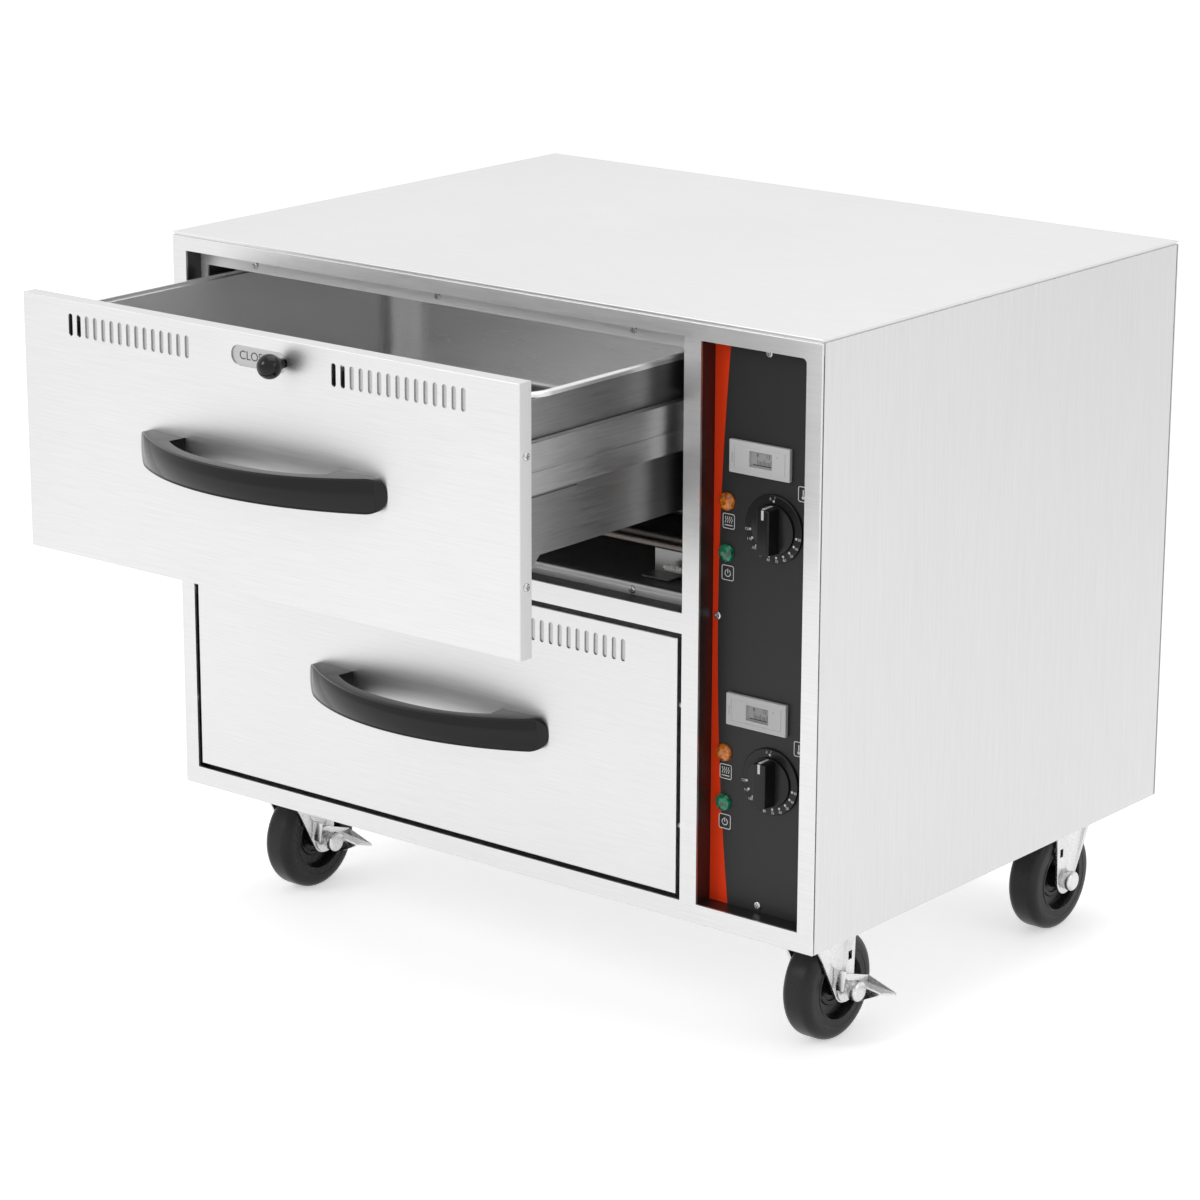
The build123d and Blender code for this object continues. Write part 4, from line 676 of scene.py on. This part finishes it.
# Thermometers: a stepped bezel with an inner line, a window, and a printed scale
bezelShape = {"width": 64.0, "height": 28.8, "reach": 4.0, "edge": 0.7, "rim": 3.6, "step": 0.5,
              "shift": -14.7, "rise": 58.0, "windowShift": 1.0, "windowWidth": 24.0, "windowHeight": 14.0,
              "lineInset": 5.2, "lineWidth": 0.35, "bodyDepth": 18.0}
bezels, bezelLines, scaleMarks = [], [], []
for level in ("upper", "lower"):
    size = bezelShape
    x, z = knobX + size["shift"], knobZ[level] + size["rise"]
    front = revealY - size["reach"]
    bezel = addBox("bezel", at(x, revealY - size["reach"] / 2, z),
                   Vector((size["width"], size["reach"], size["height"])) * mm)
    roundEdges(bezel, size["edge"] * mm, 3, 60)
    startShaping(bezel)
    pickFaces(bezel, lambda middle, normal: normal.y < -0.99 and middle.y < (front + 0.1) * mm)
    bpy.ops.mesh.inset(thickness=size["rim"] * mm, depth=0)
    bpy.ops.mesh.inset(thickness=size["step"] * mm, depth=-size["step"] * mm)
    stopShaping()
    cutAway(bezel, addBox("window", at(x + size["windowShift"], revealY - 3, z),
                          Vector((size["windowWidth"], 6, size["windowHeight"])) * mm))
    body = addBox("bezelBody", at(x, revealY + size["bodyDepth"] / 2, z),
                  Vector((size["width"] - 10, size["bodyDepth"], size["height"] - 8)) * mm)
    roundEdges(body, 0.8 * mm, 2, 60)
    bezels += [bezel, body]
    inner = front + size["step"] - 0.04
    bezelLines.append(addOutline("line", at(x, inner, z), (size["width"] - 2 * size["lineInset"]) * mm,
                                 (size["height"] - 1.5 * size["lineInset"]) * mm, size["lineWidth"] * mm, 0.4 * mm))
    bezelLines.append(addBox("tick", at(x - 28.6, front - 0.02, z - 1), Vector((0.5, 0.08, 8)) * mm))
    bezelLines.append(addWriting("unit", "C", at(x + 18.5, inner, z + 5.2), 1.8 * mm))
    card = revealY - 1.6
    for n in range(11):
        tall = 5.2 if n % 5 == 0 else 3.4
        scaleMarks.append(addBox("mark", at(x - 3.2 + 1.4 * n, card, z - 4.4 + tall / 2),
                                 Vector((0.45, 0.1, tall)) * mm))
    scaleMarks.append(addBox("base", at(x + 1.4, card, z - 4.9), Vector((19, 0.1, 0.9)) * mm))
    scaleMarks.append(addWriting("eight", "8", at(x - 3.4, card, z + 3.6), 3.4 * mm))
    scaleMarks.append(addWriting("twelve", "12", at(x + 7.6, card, z + 3.6), 3.4 * mm))
dress(joinPieces("thermometerBezels", bezels), "cabinet", "bezel", finishes["bezel"], "thermometer_bezels")
dress(joinPieces("bezelLines", bezelLines), "cabinet", "bezel", finishes["printGrey"])
dress(joinPieces("scaleMarks", scaleMarks), "cabinet", "scale", finishes["printDark"])
print("lamps and thermometers done")

# Dials: dots and numbers on the rings, and knobs with a white pointer
dialShape = {"ringFront": 2.4, "dotRadius": 1.15, "dotCircle": 24.6, "numberCircle": 27.9, "numberHeight": 2.5,
             "firstAngle": 100.0, "angleStep": 18.0, "lowest": 30, "valueStep": 10, "count": 10}
knobShape = {"edge": 0.5 * mm, "front": revealY - 18.2, "end": 21.2, "pointerWidth": 2.6, "pointerLength": 8.5}
for level in ("upper", "lower"):
    size = dialShape
    dialY = revealY - size["ringFront"]
    marks = []
    for n in range(size["count"]):
        angle = math.radians(size["firstAngle"] + n * size["angleStep"])
        outward = (math.sin(angle), math.cos(angle))
        marks.append(addRod("dot", at(knobX + size["dotCircle"] * outward[0], dialY,
                                      knobZ[level] + size["dotCircle"] * outward[1]),
                            size["dotRadius"] * mm, 0.12 * mm, "Y", 20))
        marks.append(addWriting("value", str(size["lowest"] + n * size["valueStep"]),
                                at(knobX + size["numberCircle"] * outward[0], dialY,
                                   knobZ[level] + size["numberCircle"] * outward[1]), size["numberHeight"] * mm))
    marks.append(addRod("dot", at(knobX, dialY, knobZ[level] + size["dotCircle"]), size["dotRadius"] * mm,
                        0.12 * mm, "Y", 20))
    marks.append(addWriting("offMark", "0", at(knobX - 3.4, dialY, knobZ[level] + 26.2), 2.4 * mm))
    marks.append(addWriting("slash", "/", at(knobX + 1.2, dialY, knobZ[level] + 27.6), 2.6 * mm))
    dress(joinPieces(f"{level}DialMarks", marks), "cabinet", "black_matte", finishes["print"])

    knob = copyNode(f"{level}_knob", f"{level}KnobSkin", 0.2)
    roundEdges(knob, knobShape["edge"], 2, 50)
    smoothFaces(knob, 35)
    dress(knob, f"{level}_knob", "black_matte", finishes["blackMatte"], f"{level}_knob")
    size = knobShape
    faceStrip = addBox("pointer", at(knobX, size["front"] + 0.1, knobZ[level] + size["end"] - 1.4
                                     - size["pointerLength"] / 2),
                       Vector((size["pointerWidth"], 0.5, size["pointerLength"])) * mm)
    endStrip = addBox("pointerEnd", at(knobX, size["front"] + 7.2, knobZ[level] + size["end"] - 0.5),
                      Vector((size["pointerWidth"], 12.0, 0.9)) * mm)
    for strip in (faceStrip, endStrip):
        roundEdges(strip, 0.15 * mm, 2, 60)
    dress(joinPieces(f"{level}Pointer", [faceStrip, endStrip]), f"{level}_knob", "black_matte", finishes["print"])
print("dials done")

# Heater lead: a folded bracket on the cross rail, with ribbed ceramic beads
leadShape = {"x": 178.0, "beads": 8, "beadPitch": 3.2, "y": -110.0, "rise": 10.5}
for level in ("upper", "lower"):
    size, floorZ = leadShape, bayZ[level] + 11.5
    beads = [addBox("bracketFoot", at(size["x"] - 6, -109, floorZ + 1.6), Vector((30, 20, 1.2)) * mm),
             addBox("bracketBack", at(size["x"] - 6, -99.6, floorZ + 12), Vector((30, 1.2, 22)) * mm)]
    # the bracket takes the drawer frames' dark tone, which is painted shade
    dress(joinPieces(f"{level}LeadBracket", beads), "cabinet", "heater", finishes["frame"])
    beads = []
    for n in range(size["beads"]):
        clearSelection()
        bpy.ops.mesh.primitive_torus_add(major_radius=1.9 * mm, minor_radius=1.5 * mm, major_segments=24,
                                         minor_segments=10, rotation=turnedTo["X"],
                                         location=at(size["x"] + n * size["beadPitch"], size["y"],
                                                     floorZ + size["rise"]))
        beads.append(bpy.context.object)
        settle(beads[-1])
    beads.append(addRod("core", at(size["x"] + (size["beads"] - 1) * size["beadPitch"] / 2, size["y"],
                                   floorZ + size["rise"]), 1.3 * mm, 30 * mm, "X", 16))
    lead = joinPieces(f"{level}LeadBeads", beads)
    smoothFaces(lead, 50)
    dress(lead, "cabinet", "heater", finishes["ceramic"])
print("heater leads done")

# Casters: tyre with a stepped side, recessed web and hub
wheelShape = {"radius": 50.8 * mm, "width": 31 * mm, "shoulder": 9 * mm,
              "steps": [(3.4, 0.0), (0.5, -0.4), (5.4, 0.0), (0.8, 0.8), (1.2, 0.0), (1.0, -1.6), (2.0, -7.5),
                        (7.5, -0.8), (1.0, 1.0), (3.4, 0.0), (1.0, -1.2), (4.0, 0.6), (1.4, 6.0)],
              "rimInside": 37.5 * mm, "rimReach": 17 * mm}


def makeWheel(name, centre):
    tyre = addRod(name, centre, wheelShape["radius"], wheelShape["width"], "X", 96)
    roundEdges(tyre, wheelShape["shoulder"], 8, 60)
    startShaping(tyre)
    for thickness, depth in wheelShape["steps"]:
        pickFaces(tyre, lambda middle, normal: abs(normal.x) > 0.99
                  and (middle - Vector(centre)).yz.length < 0.5 * mm)
        bpy.ops.mesh.inset(thickness=thickness * mm, depth=depth * mm, use_individual=True)
    stopShaping()
    smoothFaces(tyre, 30)
    return tyre


def paintRim(wheel, centre):  # the moulded centre is glossier than the tyre
    wheel.data.materials.append(finishes["wheelRim"])
    for face in wheel.data.polygons:
        reach = (face.center - Vector(centre)).yz.length
        inside = reach < wheelShape["rimInside"] and abs(face.center.x - centre[0]) < wheelShape["rimReach"]
        face.material_index = 1 if inside else 0


forkShape = {"edge": 0.5 * mm, "creaseAhead": 10.0 * mm, "fold": 0.13,
             "foldTop": 104.8 * mm}
brakeShape = {"edge": 0.35 * mm, "cheekSetback": 16.5, "cheekInner": 20.2, "cheekOuter": 33.0, "cheekTop": 23.0,
              "cheekDrop": 20.0, "cheekTaper": 0.6, "sheet": 1.8, "pedalStart": 38.0, "pedalTilt": 17.0,
              "leanY": 22.5, "leanZ": 8}
trails = {"front_left": 1, "front_right": 1, "rear_left": -1, "rear_right": -1}

for corner, trail in trails.items():
    low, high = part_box(f"{corner}_wheel")
    centre = (low + high) / 2
    wheel = makeWheel(f"{corner}Wheel", centre)
    dress(wheel, f"{corner}_wheel", "tyre", finishes["tyre"], f"{corner}_wheel")
    paintRim(wheel, centre)

    # Fork, with the front of each leg folded inwards along an upright crease
    fork = copyNode(f"{corner}_fork", f"{corner}Fork", 0.5)
    crease = centre.y - trail * forkShape["creaseAhead"]
    startShaping(fork)
    bpy.ops.mesh.select_all(action="SELECT")
    bpy.ops.mesh.bisect(plane_co=(0, crease, 0), plane_no=(0, 1, 0))
    shape = bmesh.from_edit_mesh(fork.data)
    for point in shape.verts:
        ahead = (crease - point.co.y) * trail
        if ahead > 0 and point.co.z < forkShape["foldTop"]:
            point.co.x -= math.copysign(forkShape["fold"] * ahead, point.co.x - centre.x)
    bmesh.update_edit_mesh(fork.data)
    stopShaping()
    roundEdges(fork, forkShape["edge"], 2, 50)
    smoothFaces(fork, 30)
    dress(fork, f"{corner}_swivel", "zinc", finishes["zinc"], f"{corner}_fork")

    axle = copyNode(f"{corner}_axle", f"{corner}AxleBolt", 0.2)
    roundEdges(axle, 0.3 * mm, 2, 50)
    smoothFaces(axle, 30)
    dress(axle, f"{corner}_swivel", "zinc", finishes["zinc"], f"{corner}_axle")

    if not corner.startswith("front"):
        continue
    # Brake: pedal, and a stamped housing round the bolt
    size = brakeShape
    pedal = copyNode(f"{corner}_brake", f"{corner}Brake", 0.2)
    startShaping(pedal)  # the foot plate leans, with its front edge up
    pickFaces(pedal, lambda place, normal: place.x > centre.x + size["pedalStart"] * mm)
    bpy.ops.transform.rotate(value=math.radians(size["pedalTilt"]), orient_axis="X",
                             center_override=centre + at(0, size["leanY"], size["leanZ"]))
    stopShaping()
    middle = (size["cheekInner"] + size["cheekOuter"]) / 2
    width = size["cheekOuter"] - size["cheekInner"]
    cheek = addBox("cheek", centre + at(middle, -size["cheekSetback"], size["cheekTop"] - size["cheekDrop"] / 2),
                   Vector((width, size["sheet"], size["cheekDrop"])) * mm)
    startShaping(cheek)
    pickFaces(cheek, lambda place, normal: normal.z < -0.9)
    bpy.ops.transform.resize(value=(size["cheekTaper"], 1, 1), center_override=centre
                             + at(middle - 1, -size["cheekSetback"], size["cheekTop"] - size["cheekDrop"]))
    stopShaping()
    brake = joinPieces(f"{corner}Brake", [pedal, cheek])
    roundEdges(brake, size["edge"], 2, 50)
    smoothFaces(brake, 30)
    dress(brake, f"{corner}_brake", "zinc", finishes["zinc"], f"{corner}_brake")
print("casters done")

# Studio
studio = {"worldTone": 0.55, "floorLift": 0.5,
          "lensLength": 120.6976, "eye": (2.26534, -2.79539, 1.36921),
          "look": (74.00857, -0.1713, 38.89795)}

clearSelection()
bpy.ops.mesh.primitive_plane_add(size=40, location=(0, 0, 0))
floor = bpy.context.object
floor.name = "studioFloor"
paper = makeFinish("floorPaper", grey(0.86), grey(0.88), (0.8, 0.9), grainSize=40, bump=0.02)
floor.data.materials.append(paper)


def whiteToEye(tree):  # 1 for what the camera sees direct, in a mirror or through glass
    made, wire = tree.nodes, tree.links
    path = made.new("ShaderNodeLightPath")
    total = path.outputs["Is Camera Ray"]
    for ray in ("Is Glossy Ray", "Is Transmission Ray"):
        either = made.new("ShaderNodeMath")
        either.operation = "MAXIMUM"
        wire.new(total, either.inputs[0])
        wire.new(path.outputs[ray], either.inputs[1])
        total = either.outputs[0]
    return total


paperShader = paper.node_tree.nodes["Principled BSDF"]
paperShader.inputs["Emission Color"].default_value = (1, 1, 1, 1)
lift = paper.node_tree.nodes.new("ShaderNodeMath")
lift.operation = "MULTIPLY"
lift.inputs[1].default_value = studio["floorLift"]
paper.node_tree.links.new(whiteToEye(paper.node_tree), lift.inputs[0])
paper.node_tree.links.new(lift.outputs[0], paperShader.inputs["Emission Strength"])

world = bpy.data.worlds.new("studioAir")
bpy.context.scene.world = world
world.use_nodes = True
airNodes, airWire = world.node_tree.nodes, world.node_tree.links
backdrop = airNodes["Background"]
backdrop.inputs["Color"].default_value = (1, 1, 1, 1)
level = airNodes.new("ShaderNodeMapRange")
level.inputs["To Min"].default_value = studio["worldTone"]
level.inputs["To Max"].default_value = 1.0
airWire.new(whiteToEye(world.node_tree), level.inputs["Value"])
airWire.new(level.outputs["Result"], backdrop.inputs["Strength"])

lamps = [
    ("keyPanel", (-1.6, -3.2, 2.6), 1.4, 34),
    ("sidePanel", (3.4, 0.2, 1.8), 2.0, 10),
    ("topPanel", (0.2, 0.4, 3.2), 2.6, 30),
]
for name, place, size, power in lamps:
    light = bpy.data.lights.new(name, "AREA")
    light.shape = "SQUARE"
    light.size = size
    light.energy = power
    lamp = bpy.data.objects.new(name, light)
    bpy.context.scene.collection.objects.link(lamp)
    lamp.location = place
    lamp.rotation_euler = (Vector((0, 0, 0.35)) - Vector(place)).to_track_quat("-Z", "Y").to_euler()

eye = bpy.data.cameras.new("photoEye")
eye.lens = studio["lensLength"]
eye.sensor_width = 36.0
eye.clip_end = 50
camera = bpy.data.objects.new("photoEye", eye)
bpy.context.scene.collection.objects.link(camera)
camera.location = studio["eye"]
camera.rotation_euler = [math.radians(a) for a in studio["look"]]
bpy.context.scene.camera = camera
bpy.context.scene.view_settings.view_transform = "Standard"
print("studio ready")
